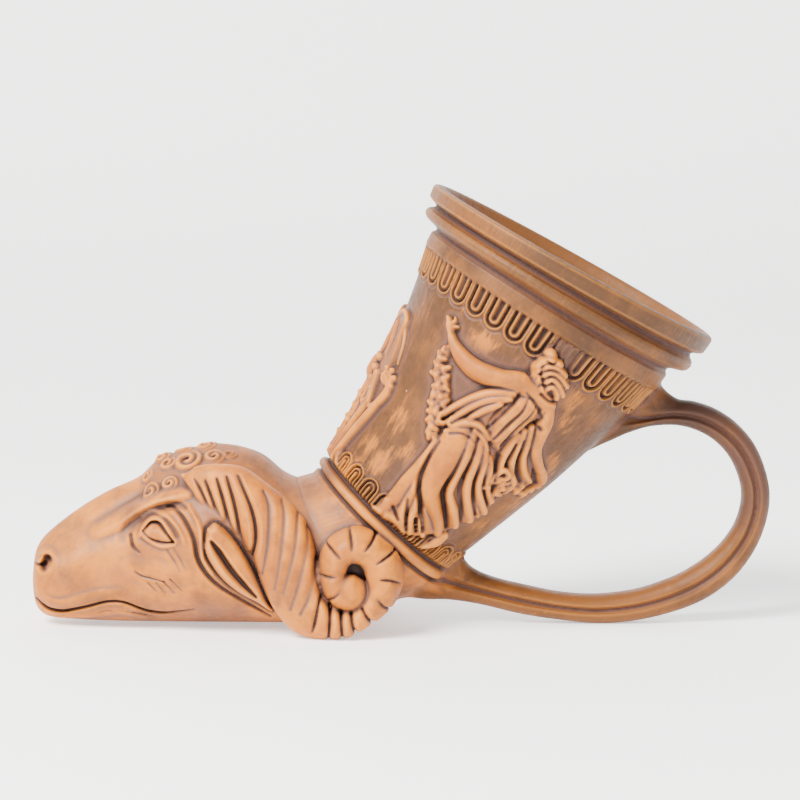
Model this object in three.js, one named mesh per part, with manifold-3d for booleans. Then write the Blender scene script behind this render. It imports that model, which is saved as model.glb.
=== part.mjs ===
// Ram's-head rhyton in terracotta, fired as one hollow piece. Millimetres.
// X runs from the muzzle to the handle, Y across the head, Z up from the table.
// It lies on the bottoms of its two horns and on the bottom of its handle.

import * as THREE from 'three';
import { LoftGeometry } from 'three/addons/geometries/LoftGeometry.js';
import { mergeVertices } from 'three/addons/utils/BufferGeometryUtils.js';
import Module from 'manifold-3d';

const wasm = await Module();
wasm.setup();

// Cup, measured along its bent middle line from the neck ring to the lip
const cupLength = 103.4;
const neckRadius = 26.5;
const flareRadius = 43.3;
const lipRadius = 51;
const mouldingHeight = 18.8;
const neckSlope = 46;
const mouthSlope = 61;
const wallThickness = 4.5;
const lipThickness = 4.2;

// Ornament of the cup
const tongueCount = 36;
const tongueLength = 8.2;
const tongueRise = 0.9;
const budCount = 20;
const budLength = 7;
const budRise = 0.8;
const dancerHeight = 74;
const dancerAngle = 97;
const dancerHalf = 24;
const dancerFoot = 2.5;
const frontFigureHeight = 60;
const frontFigureHalf = 24;
const reliefSink = 1.2;

// Head
const headLength = 96;
const headHeight = 59;
const headWidth = 62;
const hornSpread = 74;
const hornThickness = 14;
const coilRadius = 17;
const coilPit = 3.9;
const earLength = 33;
const earWidth = 9;
const earThickness = 6;
const eyeLength = 11;
const curlRadius = 4;

// Handle
const handleReach = 106;
const handleThickness = 9;
const handleWidth = 12;
const handleGroove = 1.1;
const restFlat = 0.5;

// Fineness of the facets
const skinSides = 30;
const cavitySides = 20;
const hornSides = 8;
const handleSides = 10;

const degree = Math.PI / 180;
const nearSide = -1;
const farSide = 1;
const neckX = headLength * 1.194;
const neckZ = headHeight * 0.6085;
const plainWallTop = cupLength - mouldingHeight;

const lerp = THREE.MathUtils.lerp;
const smoothstep = THREE.MathUtils.smoothstep;

// Closed geometry to solid
function solidOf( geometry ) {

	const bare = new THREE.BufferGeometry();
	bare.setAttribute( 'position', geometry.attributes.position );
	bare.setIndex( geometry.index );
	const merged = mergeVertices( bare, 1e-4 );
	return manifoldOf( merged.attributes.position.array, fullFaces( merged.index.array ) );

}

function fullFaces( index ) {

	const faces = [];
	for ( let i = 0; i < index.length; i += 3 ) {

		const [ a, b, c ] = [ index[ i ], index[ i + 1 ], index[ i + 2 ] ];
		if ( a !== b && b !== c && c !== a ) faces.push( a, b, c );

	}

	return faces;

}

function manifoldOf( positions, faces ) {

	const mesh = new wasm.Mesh( {
		numProp: 3,
		vertProperties: new Float32Array( positions ),
		triVerts: new Uint32Array( faces )
	} );
	return new wasm.Manifold( mesh );

}

function geometryOf( solid ) {

	const mesh = solid.getMesh();
	const geometry = new THREE.BufferGeometry();
	geometry.setAttribute( 'position', new THREE.BufferAttribute( new Float32Array( mesh.vertProperties ), 3 ) );
	geometry.setIndex( new THREE.BufferAttribute( new Uint32Array( mesh.triVerts ), 1 ) );
	geometry.computeVertexNormals();
	return geometry;

}

// Solid through sections, whichever way round their points run
function loft( sections ) {

	const first = centreOf( sections[ 0 ] );
	const onward = centreOf( sections[ 1 ] ).sub( first );
	const around = new THREE.Vector3();
	sections[ 0 ].forEach( ( point, i ) => {

		const next = sections[ 0 ][ ( i + 1 ) % sections[ 0 ].length ];
		around.add( point.clone().sub( first ).cross( next.clone().sub( first ) ) );

	} );
	const ordered = around.dot( onward ) > 0 ? sections : sections.map( ( section ) => [ ...section ].reverse() );
	return solidOf( new LoftGeometry( ordered, { capStart: true, capEnd: true } ) );

}

function centreOf( points ) {

	const sum = new THREE.Vector3();
	points.forEach( ( point ) => sum.add( point ) );
	return sum.divideScalar( points.length );

}

function joined( solids ) {

	return solids.reduce( ( whole, next ) => whole.add( next ) );

}

// Smooth value through a table of rows, share 0 at the first row and 1 at the last
function rowAt( rows, share ) {

	const place = THREE.MathUtils.clamp( share, 0, 1 ) * ( rows.length - 1 );
	const i = Math.min( Math.floor( place ), rows.length - 2 );
	const t = place - i;
	const before = rows[ Math.max( i - 1, 0 ) ];
	const after = rows[ Math.min( i + 2, rows.length - 1 ) ];
	return rows[ i ].map( ( value, k ) => {

		const next = rows[ i + 1 ][ k ];
		const slopeIn = ( next - before[ k ] ) / 2;
		const slopeOut = ( after[ k ] - value ) / 2;
		const rest = next - value;
		return value + t * ( slopeIn + t * ( 3 * rest - 2 * slopeIn - slopeOut + t * ( slopeIn + slopeOut - 2 * rest ) ) );

	} );

}

// Middle line of the cup: an arc that steepens from the neck to the mouth
function cupAxis( along ) {

	const bend = ( mouthSlope - neckSlope ) * degree / cupLength;
	const start = neckSlope * degree;
	const slope = start + bend * along;
	return {
		x: neckX + ( Math.sin( slope ) - Math.sin( start ) ) / bend,
		z: neckZ - ( Math.cos( slope ) - Math.cos( start ) ) / bend,
		slope
	};

}

// Point around the middle line: angle 0 is the upper side, 90 the near side, 180 the underside
function ringPoint( angle, along, radius ) {

	const { x, z, slope } = cupAxis( along );
	const up = radius * Math.cos( angle * degree );
	const near = radius * Math.sin( angle * degree );
	return new THREE.Vector3( x - up * Math.sin( slope ), - near, z + up * Math.cos( slope ) );

}

function wallRadius( along ) {

	const share = THREE.MathUtils.clamp( along / ( plainWallTop - 2 ), 0, 1 );
	return neckRadius + ( flareRadius - neckRadius ) * Math.pow( share, 1.3 );

}

function cupSkin( angle, along, proud ) {

	return ringPoint( angle, along, wallRadius( along ) + proud );

}

function ring( along, radius, sides ) {

	const points = [];
	for ( let i = 0; i < sides; i ++ ) points.push( ringPoint( 360 * i / sides, along, radius ) );
	return points;

}

// Neck ring: millimetres above the neck, and radius beyond the neck's own
const neckRingProfile = [
	[ - 8, - 0.5 ], [ - 4.6, - 0.2 ], [ - 3.6, - 1.6 ], [ - 2.4, 0.7 ], [ - 0.2, 0.7 ], [ 1, - 1.3 ], [ 2.3, 0.2 ]
];

// Mouldings under the lip: share of their height below the lip, and share of their step out
const mouldingProfile = [
	[ 1, 0 ], [ 0.97, 0.1 ], [ 0.79, 0.06 ], [ 0.67, 0.56 ], [ 0.6, 0.78 ], [ 0.48, 0.76 ],
	[ 0.38, 0.5 ], [ 0.3, 0.9 ], [ 0.16, 1 ], [ 0, 0.84 ]
];

const wallRows = 6;

function cupSections() {

	const sections = neckRingProfile.map( ( [ above, step ] ) => ring( above, neckRadius + step, skinSides ) );
	for ( let i = 1; i < wallRows; i ++ ) {

		const along = plainWallTop * i / wallRows;
		sections.push( ring( along, wallRadius( along ), skinSides ) );

	}

	for ( const [ below, step ] of mouldingProfile ) {

		const radius = lerp( flareRadius, lipRadius, step );
		sections.push( ring( cupLength - mouldingHeight * below, radius, skinSides ) );

	}

	return sections;

}

// Head stations from the muzzle to the nape, in hundredths of the head's length, height and half
// width: top along, top up, bottom along, bottom up, width at the crown, at the cheek and at the jaw
const headStations = [
	[ 0.5, 32, 0.7, 22, 10, 13, 13 ],
	[ 1.7, 42.5, 1.9, 14.6, 21, 31, 27 ],
	[ 5.7, 51.5, 5.7, 7.8, 29, 44, 39 ],
	[ 15.9, 64.2, 15.6, 5.8, 32, 52, 48 ],
	[ 26.1, 74.2, 26, 4.7, 35, 56, 52 ],
	[ 36.4, 81.9, 37.1, 3.6, 40, 65, 53 ],
	[ 43.1, 91.4, 46.9, 2.5, 52, 76, 58 ],
	[ 53.3, 97.2, 58.3, 1.8, 61, 87, 65 ],
	[ 65.2, 100, 70.8, 1.8, 68, 90, 71 ],
	[ 77.1, 95.3, 85.4, 1.8, 68, 88, 74 ],
	[ 85, 85.3, 100, 2.4, 68, 84, 77 ],
	[ 89.7, 81.4, 113.5, 5.8, 71, 82, 81 ]
];

const fullness = 0.86;

function headSize( station ) {

	const [ topX, topZ, bottomX, bottomZ, crown, cheek, jaw ] = rowAt( headStations, station ).map( ( v ) => v / 100 );
	return {
		top: new THREE.Vector3( topX * headLength, 0, topZ * headHeight ),
		bottom: new THREE.Vector3( bottomX * headLength, 0, bottomZ * headHeight ),
		crown: crown * headWidth / 2,
		cheek: cheek * headWidth / 2,
		jaw: jaw * headWidth / 2
	};

}

function headPoint( angle, station, inset ) {

	const { top, bottom, crown, cheek, jaw } = headSize( station );
	const rise = Math.cos( angle * degree );
	const reach = Math.sin( angle * degree );
	const width = cheek + ( rise > 0 ? crown - cheek : jaw - cheek ) * smoothstep( Math.abs( rise ), 0, 1 );
	const blend = smoothstep( station, 0.85, 1 );
	const power = lerp( fullness, 1, blend );
	const up = Math.sign( rise ) * Math.pow( Math.abs( rise ), power );
	const half = top.clone().sub( bottom ).multiplyScalar( 0.5 );
	const middle = top.clone().add( bottom ).multiplyScalar( 0.5 );
	const kept = Math.max( half.length() - inset, 0.5 );
	middle.addScaledVector( half.normalize(), up * kept );
	middle.y = - reach * Math.max( width - inset, 0.5 );
	return middle;

}

function headSection( station, inset, sides ) {

	const points = [];
	for ( let i = 0; i < sides; i ++ ) points.push( headPoint( 360 * i / sides, station, inset ) );
	return points;

}

function bodySkin() {

	const head = headStations.map( ( row, i ) => headSection( i / ( headStations.length - 1 ), 0, skinSides ) );
	return loft( [ ...head, ...cupSections() ] );

}

// Hollow from the mouth down into the head, one wall inside the skin
const mouthRim = [
	[ 1.5, 0 ], [ - 3, 0.5 ], [ - 9, 2.2 ], [ - 15, 5 ]
];

function cavity() {

	const sections = [];
	for ( const station of [ 0.3, 0.38, 0.5, 0.64, 0.8, 0.93 ] ) {

		sections.push( headSection( station, wallThickness, cavitySides ) );

	}

	for ( let i = 0; i < wallRows; i ++ ) {

		const along = plainWallTop * i / wallRows;
		sections.push( ring( along, wallRadius( along ) - wallThickness, cavitySides ) );

	}

	for ( const [ above, inward ] of [ ...mouthRim ].reverse() ) {

		const radius = Math.max( lipRadius - lipThickness - inward, wallRadius( cupLength ) - wallThickness );
		sections.push( ring( cupLength + above, radius, cavitySides ) );

	}

	return loft( sections );

}

// Point of the head's skin by its place in the side view, in hundredths of length and height
function headSkin( along, up, side, proud ) {

	const targetX = along / 100 * headLength;
	const targetZ = up / 100 * headHeight;
	let station = 0.5;
	let angle = 90;
	for ( let i = 0; i < 24; i ++ ) {

		const { top, bottom } = headSize( station );
		const reach = THREE.MathUtils.clamp( ( targetZ - bottom.z ) / ( top.z - bottom.z ) * 2 - 1, - 0.99, 0.99 );
		const power = lerp( fullness, 1, smoothstep( station, 0.85, 1 ) );
		angle = Math.acos( Math.sign( reach ) * Math.pow( Math.abs( reach ), 1 / power ) ) / degree;
		const here = headPoint( angle, station, 0 );
		station = THREE.MathUtils.clamp( station + ( targetX - here.x ) / headLength * 0.8, 0, 1 );

	}

	const point = headPoint( angle, station, - proud );
	point.y *= - side;
	return point;

}

// Cross section of a ridge, in shares of its half width and rise. Its feet are sunk.
const roundCrest = [ [ - 1, 0 ], [ - 0.62, 0.75 ], [ 0, 1 ], [ 0.62, 0.75 ], [ 1, 0 ] ];
const sharpCrest = [ [ - 1, 0 ], [ 0, 1 ], [ 1, 0 ] ];

// Ridge along a path on a skin. place(a, b, proud) gives the skin.
function ridge( place, path, halves, rises, steps, bumps = 0, crest = roundCrest ) {

	const sections = [];
	for ( let i = 0; i <= steps; i ++ ) {

		const share = i / steps;
		const [ a, b ] = rowAt( path, share );
		const [ a0, b0 ] = rowAt( path, share - 0.02 );
		const [ a1, b1 ] = rowAt( path, share + 0.02 );
		const foot = place( a, b, 0 );
		const out = place( a, b, 1 ).sub( foot ).normalize();
		const along = place( a1, b1, 0 ).sub( place( a0, b0, 0 ) ).normalize();
		const across = along.cross( out ).normalize();
		const taper = ( i === 0 || i === steps ) ? 0.55 : 1;
		const lump = bumps > 0 && i % 2 === 0 ? 1 - bumps : 1;
		const half = rowAt( halves.map( ( v ) => [ v ] ), share )[ 0 ] * taper * lump;
		const rise = rowAt( rises.map( ( v ) => [ v ] ), share )[ 0 ] * taper * lump;
		sections.push( crest.map( ( [ x, y ] ) => {

			const up = y > 0 ? y * rise : - reliefSink;
			return foot.clone().addScaledVector( across, x * half ).addScaledVector( out, up );

		} ) );

	}

	return loft( sections );

}

// Groove along a path on a skin, as the solid that is cut away
function groove( place, path, half, depth, steps ) {

	const clear = 1.5;
	const sections = [];
	for ( let i = 0; i <= steps; i ++ ) {

		const share = i / steps;
		const [ a, b ] = rowAt( path, share );
		const [ a0, b0 ] = rowAt( path, share - 0.02 );
		const [ a1, b1 ] = rowAt( path, share + 0.02 );
		const foot = place( a, b, 0 );
		const out = place( a, b, 1 ).sub( foot ).normalize();
		const along = place( a1, b1, 0 ).sub( place( a0, b0, 0 ) ).normalize();
		const across = along.cross( out ).normalize();
		const fade = 0.35 + 0.65 * Math.sin( Math.PI * share );
		const outline = [ [ - half * 1.8, clear ], [ 0, - depth * fade ], [ half * 1.8, clear ] ];
		sections.push( outline.map( ( [ x, y ] ) => foot.clone().addScaledVector( across, x ).addScaledVector( out, y ) ) );

	}

	return loft( sections );

}

// Horn: cross lines of its broad sweep, from the brow to the bottom. In hundredths of the head's
// length and height: inner edge along and up, outer edge along and up. Then, in hundredths of the
// horn's half spread and thickness: inner edge out, outer edge out and bulge
const hornSweep = [
	[ 51, 91, 51, 84, 44, 47, 20 ],
	[ 58.5, 93, 60, 65.5, 50, 60, 38 ],
	[ 73, 92, 75.5, 42, 54, 70, 64 ],
	[ 89, 73, 83, 15, 60, 74, 72 ],
	[ 96, 39, 93, 1.2, 68, 75, 62 ],
	[ 97.4, 22.8, 100, - 0.6, 74, 76, 54 ],
	[ 103.5, 16, 107.5, 0.4, 78, 78, 50 ]
];

const coilTurn = 350;
const coilStart = - 64;
const coilPitX = 1.09;
const coilPitZ = 0.371;
const hornRidges = 10;
const coilRidges = 6;
const ridgeDepth = 0.085;

function hornCross( inner, outer, thick, side, swell ) {

	const middle = inner.clone().add( outer ).multiplyScalar( 0.5 );
	const reach = outer.clone().sub( inner ).multiplyScalar( 0.5 );
	const axis = reach.clone().normalize();
	const outward = new THREE.Vector3( 0, side, 0 );
	outward.addScaledVector( axis, - outward.dot( axis ) ).normalize();
	const points = [];
	for ( let i = 0; i < hornSides; i ++ ) {

		const angle = 2 * Math.PI * i / hornSides;
		const point = middle.clone();
		point.addScaledVector( reach, Math.cos( angle ) * ( 1 - ( 1 - swell ) * 0.4 ) );
		point.addScaledVector( outward, Math.sin( angle ) * thick * swell );
		points.push( point );

	}

	return points;

}

function sweepCross( share, side, swell ) {

	const row = rowAt( hornSweep, share ).map( ( v ) => v / 100 );
	const out = hornSpread / 2 * side;
	const inner = new THREE.Vector3( row[ 0 ] * headLength, row[ 4 ] * out, row[ 1 ] * headHeight );
	const outer = new THREE.Vector3( row[ 2 ] * headLength, row[ 5 ] * out, row[ 3 ] * headHeight );
	return hornCross( inner, outer, row[ 6 ] * hornThickness, side, swell );

}

function coilCross( share, side, swell ) {

	const angle = ( coilStart + coilTurn * share ) * degree;
	const outerRadius = coilRadius * ( 1.02 - 0.42 * share );
	const innerRadius = coilPit + coilRadius * 0.36 * Math.pow( 1 - share, 4 );
	const tip = share > 0.95 ? 0.7 : 1;
	const middleRadius = ( outerRadius + innerRadius ) / 2;
	const halfWidth = ( outerRadius - innerRadius ) / 2 * tip;
	const out = side * ( hornSpread / 2 - hornThickness / 2 );
	const at = ( radius ) => new THREE.Vector3(
		coilPitX * headLength + radius * Math.cos( angle ),
		out,
		coilPitZ * headHeight + radius * Math.sin( angle )
	);
	const inner = at( middleRadius - halfWidth );
	const outer = at( middleRadius + halfWidth );
	return hornCross( inner, outer, hornThickness * 0.5 * tip, side, swell );

}

function horn( side ) {

	const sections = [];
	const sweepRows = hornRidges * 2;
	for ( let i = 0; i < sweepRows; i ++ ) {

		sections.push( sweepCross( i / sweepRows, side, i % 2 ? 1 - ridgeDepth : 1 ) );

	}

	const coilRows = coilRidges * 2;
	for ( let i = 0; i <= coilRows; i ++ ) {

		sections.push( coilCross( i / coilRows, side, i % 2 ? 1 - ridgeDepth * 0.5 : 1 ) );

	}

	return loft( sections );

}

// Ear: a folded leaf laid back on the cheek under the horn. Root in hundredths of the head.
const earRoot = [ 58, 54 ];
const earSlope = - 53;
const earProfile = [ 0.35, 0.85, 1, 0.95, 0.75, 0.45, 0.12 ];
const earFold = [ [ - 1, - 0.3 ], [ - 0.7, 0.42 ], [ 0, 0.05 ], [ 0.6, 0.45 ], [ 1, 0 ], [ 0.7, - 0.7 ], [ - 0.7, - 0.7 ] ];

function ear( side ) {

	const last = earProfile.length - 1;
	const along = new THREE.Vector3( Math.cos( earSlope * degree ), 0, Math.sin( earSlope * degree ) );
	const across = new THREE.Vector3( - along.z, 0, along.x );
	const outward = new THREE.Vector3( 0, side, 0 );
	const sections = earProfile.map( ( share, i ) => {

		const reach = earLength * i / last;
		const foot = headSkin(
			earRoot[ 0 ] + 100 * along.x * reach / headLength,
			earRoot[ 1 ] + 100 * along.z * reach / headHeight,
			side,
			earThickness * 0.3
		);
		const wide = earWidth / 2 * share;
		const thick = earThickness * ( 0.4 + 0.6 * share );
		return earFold.map( ( [ x, y ] ) => foot.clone().addScaledVector( across, x * wide ).addScaledVector( outward, y * thick ) );

	} );
	return loft( sections );

}

function eye( side ) {

	const ball = new THREE.SphereGeometry( eyeLength / 2, 10, 6 );
	ball.scale( 1, 0.5, 0.52 );
	ball.rotateY( 24 * degree );
	const place = headSkin( 45, 56, side, - 0.6 );
	ball.translate( place.x, place.y, place.z );
	return solidOf( ball );

}

// Ridges and grooves of the face, each a path of places on the head's skin
function faceRidges( side ) {

	const skin = ( along, up, proud ) => headSkin( along, up, side, proud );
	return [
		ridge( skin, [ [ 28, 58 ], [ 38, 68 ], [ 46, 75 ], [ 53, 77 ] ], [ 2, 3, 3, 2 ], [ 0.8, 2, 2.2, 1.4 ], 6 ),
		ridge( skin, [ [ 40, 49 ], [ 46, 49 ], [ 51, 50 ] ], [ 1, 1.3, 1 ], [ 0.6, 1, 0.5 ], 3 )
	];

}

function faceGrooves( side ) {

	const skin = ( along, up, proud ) => headSkin( along, up, side, proud );
	const mouth = [ [ 5, 12 ], [ 10, 9 ], [ 17, 11 ], [ 24, 15 ], [ 31, 18 ], [ 38, 14 ], [ 45, 11 ], [ 54, 12 ] ];
	const cheekFold = [ [ 49, 70 ], [ 53, 64 ], [ 56, 48 ], [ 61, 36 ], [ 68, 28 ] ];
	const socket = [ [ 38, 58 ], [ 42, 66 ], [ 48, 70 ], [ 53, 70 ] ];
	return [
		groove( skin, mouth, 0.5, 1.3, 7 ),
		groove( skin, cheekFold, 0.7, 1.6, 4 ),
		groove( skin, socket, 0.6, 1.4, 3 ),
		groove( skin, [ [ 3.2, 35 ], [ 5.5, 38 ], [ 7.5, 39 ] ], 0.7, 1.8, 2 )
	];

}

// Curls of wool on the forehead, in rows across the crown: station and angles from the middle line
const curlRows = [
	[ 0.53, [ 0, 38 ] ], [ 0.6, [ 19, 54 ] ], [ 0.67, [ 0 ] ]
];

function curl( angle, station ) {

	const lump = new THREE.SphereGeometry( curlRadius, 6, 4 );
	lump.scale( 1, 1, 0.8 );
	const place = headPoint( angle, station, 0.8 );
	lump.translate( place.x, place.y, place.z );
	return solidOf( lump );

}

function curls() {

	const lumps = [];
	for ( const [ station, angles ] of curlRows ) {

		for ( const angle of angles ) {

			lumps.push( curl( angle, station ) );
			if ( angle > 0 ) lumps.push( curl( - angle, station ) );

		}

	}

	return lumps;

}

// Round-ended plate on the cup. ends: where its square end and its round end lie along the cup.
const plateOutline = [ [ - 1, 0 ], [ - 0.86, 0.64 ], [ 0, 1 ], [ 0.86, 0.64 ], [ 1, 0 ] ];

function plate( angle, squareEnd, roundEnd, halfAngle, rise ) {

	const level = ( proud, size ) => plateOutline.map( ( [ x, y ] ) =>
		cupSkin( angle + x * halfAngle * size, lerp( squareEnd, roundEnd, y * ( 0.5 + 0.5 * size ) ), proud ) );
	return loft( [ level( - reliefSink, 1 ), level( rise, 0.86 ) ] );

}

function tongues() {

	const top = plainWallTop - 1.4;
	const step = 360 / tongueCount;
	const plates = [];
	for ( let i = 0; i < tongueCount; i ++ ) {

		plates.push( plate( ( i + 0.5 ) * step, top, top - tongueLength, step * 0.42, tongueRise ) );

	}

	return plates;

}

// The figures stand in front of the buds at their feet
function figureCovers( angle ) {

	const fromTop = Math.min( angle, 360 - angle );
	return fromTop < frontFigureHalf || Math.abs( fromTop - dancerAngle ) < dancerHalf;

}

function buds() {

	const base = neckRingProfile[ neckRingProfile.length - 1 ][ 0 ];
	const step = 360 / budCount;
	const plates = [];
	for ( let i = 0; i < budCount; i ++ ) {

		const angle = ( i + 0.5 ) * step;
		if ( figureCovers( angle ) ) continue;
		plates.push( plate( angle, base, base + budLength, step * 0.42, budRise ) );

	}

	return plates;

}

// Dancer seen from behind, as strokes: crest, path in degrees from the figure's middle line and
// hundredths of its height, half widths and rises in millimetres, steps, and how deep it is beaded.
// The body comes first, and the folds that only the near side carries come last.
const dancerBody = [
	[ roundCrest, [ [ 4, 89 ], [ 6, 94 ], [ 4, 100 ] ], [ 3.6, 4.6, 3.2 ], [ 3, 4.4, 3 ], 3, 0 ],
	[ roundCrest, [ [ 5, 86 ], [ 6, 76 ], [ 3, 64 ], [ 0, 54 ] ], [ 5, 7.4, 6, 5 ], [ 2.4, 3.4, 3, 2.4 ], 4, 0 ],
	[ roundCrest, [ [ 2, 83 ], [ - 22, 76 ], [ - 37, 78 ], [ - 47, 88 ] ], [ 2.4, 2.2, 1.5, 0.9 ], [ 3.2, 2.8, 1.6 ], 5, 0 ],
	[ roundCrest, [ [ 16, 78 ], [ 19, 70 ], [ 28, 62 ], [ 60, 50 ] ], [ 1.9, 1.5, 1.1 ], [ 2.8, 2.2, 1.5 ], 4, 0 ],
	[ roundCrest, [ [ - 8, 54 ], [ - 14, 36 ], [ - 13, 12 ], [ - 21, 1 ] ], [ 2.6, 3, 2, 1.4 ], [ 1.8, 2.2, 1.6 ], 5, 0 ],
	[ roundCrest, [ [ - 4, 54 ], [ - 3, 38 ], [ 10, 20 ], [ 20, 3 ] ], [ 3, 3.4, 2.4, 1.4 ], [ 2.6, 2.8, 2 ], 5, 0 ],
	[ sharpCrest, [ [ - 46, 82 ], [ - 43, 73 ], [ - 38, 64 ], [ - 31, 57 ], [ - 23, 40 ] ], [ 2.6, 2.6 ], [ 2.4, 2.2 ], 10, 0.45 ],
	[ sharpCrest, [ [ - 10, 48 ], [ - 10, 26 ], [ - 8, 6 ] ], [ 2.2, 3 ], [ 2, 2.2 ], 3, 0 ],
	[ sharpCrest, [ [ - 5, 50 ], [ - 3, 26 ], [ 3, 4 ] ], [ 2, 3.4 ], [ 2.4, 2.4 ], 3, 0 ],
	[ sharpCrest, [ [ 1, 53 ], [ 9, 30 ], [ 16, 7 ] ], [ 2.2, 3.6 ], [ 2.8, 2.4 ], 3, 0 ],
	[ sharpCrest, [ [ 5, 56 ], [ 16, 36 ], [ 29, 18 ] ], [ 2, 3.4 ], [ 2.6, 2 ], 3, 0 ],
	[ sharpCrest, [ [ - 2, 76 ], [ - 13, 68 ], [ - 20, 58 ], [ - 25, 46 ] ], [ 2.4, 2.8, 1.8 ], [ 2.4, 2.6, 2.2 ], 4, 0 ]
];

const dancerFolds = [
	[ roundCrest, [ [ 0, 97 ], [ - 1, 102 ] ], [ 2.2, 1.8 ], [ 3.6, 2.8 ], 2, 0 ],
	[ sharpCrest, [ [ 24, 38 ], [ 38, 44 ], [ 57, 51 ] ], [ 2.1, 2.1 ], [ 1.8, 1.8 ], 6, 0.4 ],
	[ sharpCrest, [ [ 2, 72 ], [ - 8, 64 ], [ - 14, 56 ], [ - 17, 47 ] ], [ 2.2, 2.6, 1.8 ], [ 2.8, 2.8, 2.4 ], 4, 0 ],
	[ sharpCrest, [ [ 18, 76 ], [ 11, 66 ], [ 10, 52 ] ], [ 1.8, 2.2, 1.4 ], [ 2.4, 2.8, 2 ], 3, 0 ],
	[ sharpCrest, [ [ 15, 66 ], [ 20, 56 ], [ 25, 44 ] ], [ 1.8, 2.2, 1.6 ], [ 1.8, 2.2, 1.8 ], 3, 0 ],
	[ sharpCrest, [ [ 19, 67 ], [ 27, 58 ], [ 34, 49 ] ], [ 1.4, 2, 1.4 ], [ 1.4, 1.7, 1.2 ], 3, 0 ],
	[ sharpCrest, [ [ 8, 56 ], [ 20, 42 ], [ 35, 27 ] ], [ 1.8, 2.8 ], [ 2.2, 1.6 ], 3, 0 ]
];

// Figure on the upper side under a billowing mantle, in the same form
const frontStrokes = [
	[ roundCrest, [ [ 0, 65 ], [ 0, 73 ], [ 0, 80 ] ], [ 4, 4.8, 3.6 ], [ 4.4, 5.2, 3.4 ], 3, 0 ],
	[ roundCrest, [ [ 0, 66 ], [ 0, 52 ], [ 0, 40 ] ], [ 5, 5.4, 4.6 ], [ 3.2, 3.6, 3 ], 3, 0 ],
	[ sharpCrest, [ [ - 20, 44 ], [ - 22, 66 ], [ - 14, 88 ], [ 1, 99 ] ], [ 2.4, 2.6, 2.8 ], [ 2, 2.4, 2.4 ], 5, 0 ],
	[ sharpCrest, [ [ 20, 44 ], [ 22, 66 ], [ 14, 88 ], [ - 1, 99 ] ], [ 2.4, 2.6, 2.8 ], [ 2, 2.4, 2.4 ], 5, 0 ],
	[ sharpCrest, [ [ 0, 78 ], [ 0, 99 ] ], [ 2, 2.4 ], [ 3, 2.2 ], 2, 0 ],
	[ roundCrest, [ [ - 6, 62 ], [ - 16, 56 ], [ - 21, 68 ] ], [ 2, 1.7, 1.3 ], [ 3, 2.4, 2 ], 3, 0 ],
	[ roundCrest, [ [ 6, 62 ], [ 16, 56 ], [ 21, 68 ] ], [ 2, 1.7, 1.3 ], [ 3, 2.4, 2 ], 3, 0 ],
	[ sharpCrest, [ [ - 5, 44 ], [ - 12, 24 ], [ - 18, 4 ] ], [ 2.4, 3.4 ], [ 2.8, 2 ], 3, 0 ],
	[ sharpCrest, [ [ - 2, 44 ], [ - 5, 24 ], [ - 7, 2 ] ], [ 2.4, 3.2 ], [ 3.4, 2.8 ], 3, 0 ],
	[ sharpCrest, [ [ 2, 44 ], [ 4, 24 ], [ 5, 2 ] ], [ 2.4, 3.2 ], [ 3.4, 2.8 ], 3, 0 ],
	[ sharpCrest, [ [ 5, 44 ], [ 12, 24 ], [ 18, 4 ] ], [ 2.4, 3.4 ], [ 2.8, 2 ], 3, 0 ]
];

function figure( strokes, middleAngle, height, side ) {

	return strokes.map( ( [ crest, path, halves, rises, steps, bumps ] ) => {

		const onCup = ( angle, up, proud ) =>
			cupSkin( - side * ( middleAngle + angle ), dancerFoot + up / 100 * height, proud );
		return ridge( onCup, path, halves, rises, steps, bumps, crest );

	} );

}

// Handle: middle line from the wall under the mouldings round to the neck. Along from the neck, in
// hundredths of its reach; up, in hundredths of the height of its upper root
const handleLine = [
	[ 70, 96 ], [ 79, 100 ], [ 87, 101 ], [ 97.5, 97 ], [ 108.5, 84 ], [ 113.5, 63 ],
	[ 110.5, 42 ], [ 99.5, 22 ], [ 80, 10 ], [ 66, 6.6 ], [ 50, 8.6 ], [ 38, 12.5 ], [ 27, 17.5 ], [ 17, 25 ]
];

function handleRoot() {

	const under = ( angle, along, proud ) => cupSkin( 180 + angle, along, proud );
	const top = plainWallTop;
	return ridge( under, [ [ 0, top * 0.62 ], [ 0, top * 0.76 ], [ 0, top * 0.9 ], [ 0, top ] ],
		[ 2.6, 4.6, handleWidth * 0.5, handleWidth * 0.5 ], [ 0.6, 2.4, handleThickness * 0.55, handleThickness * 0.3 ], 6 );

}

function handle() {

	const rootHeight = neckZ + handleThickness * 3.6;
	const rows = 24;
	const sections = [];
	const at = ( share ) => {

		const [ along, up ] = rowAt( handleLine, share );
		return new THREE.Vector3( neckX + along / 100 * handleReach, 0, up / 100 * rootHeight );

	};

	for ( let i = 0; i <= rows; i ++ ) {

		const share = i / rows;
		const middle = at( share );
		const along = at( share + 0.01 ).sub( at( share - 0.01 ) ).normalize();
		const radial = new THREE.Vector3( - along.z, 0, along.x );
		const lateral = new THREE.Vector3( 0, 1, 0 );
		const swell = 1 + 0.35 * Math.pow( Math.abs( share * 2 - 1 ), 12 );
		const points = [];
		for ( let k = 0; k < handleSides; k ++ ) {

			const turn = 2 * Math.PI * ( k + 0.5 ) / handleSides;
			const side = Math.sin( turn );
			const pinch = Math.abs( side ) > 0.99 ? handleGroove : 0;
			const point = middle.clone();
			point.addScaledVector( radial, Math.cos( turn ) * handleThickness / 2 * swell );
			point.addScaledVector( lateral, ( side * handleWidth / 2 - Math.sign( side ) * pinch ) * swell );
			points.push( point );

		}

		sections.push( points );

	}

	return loft( sections );

}

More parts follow.
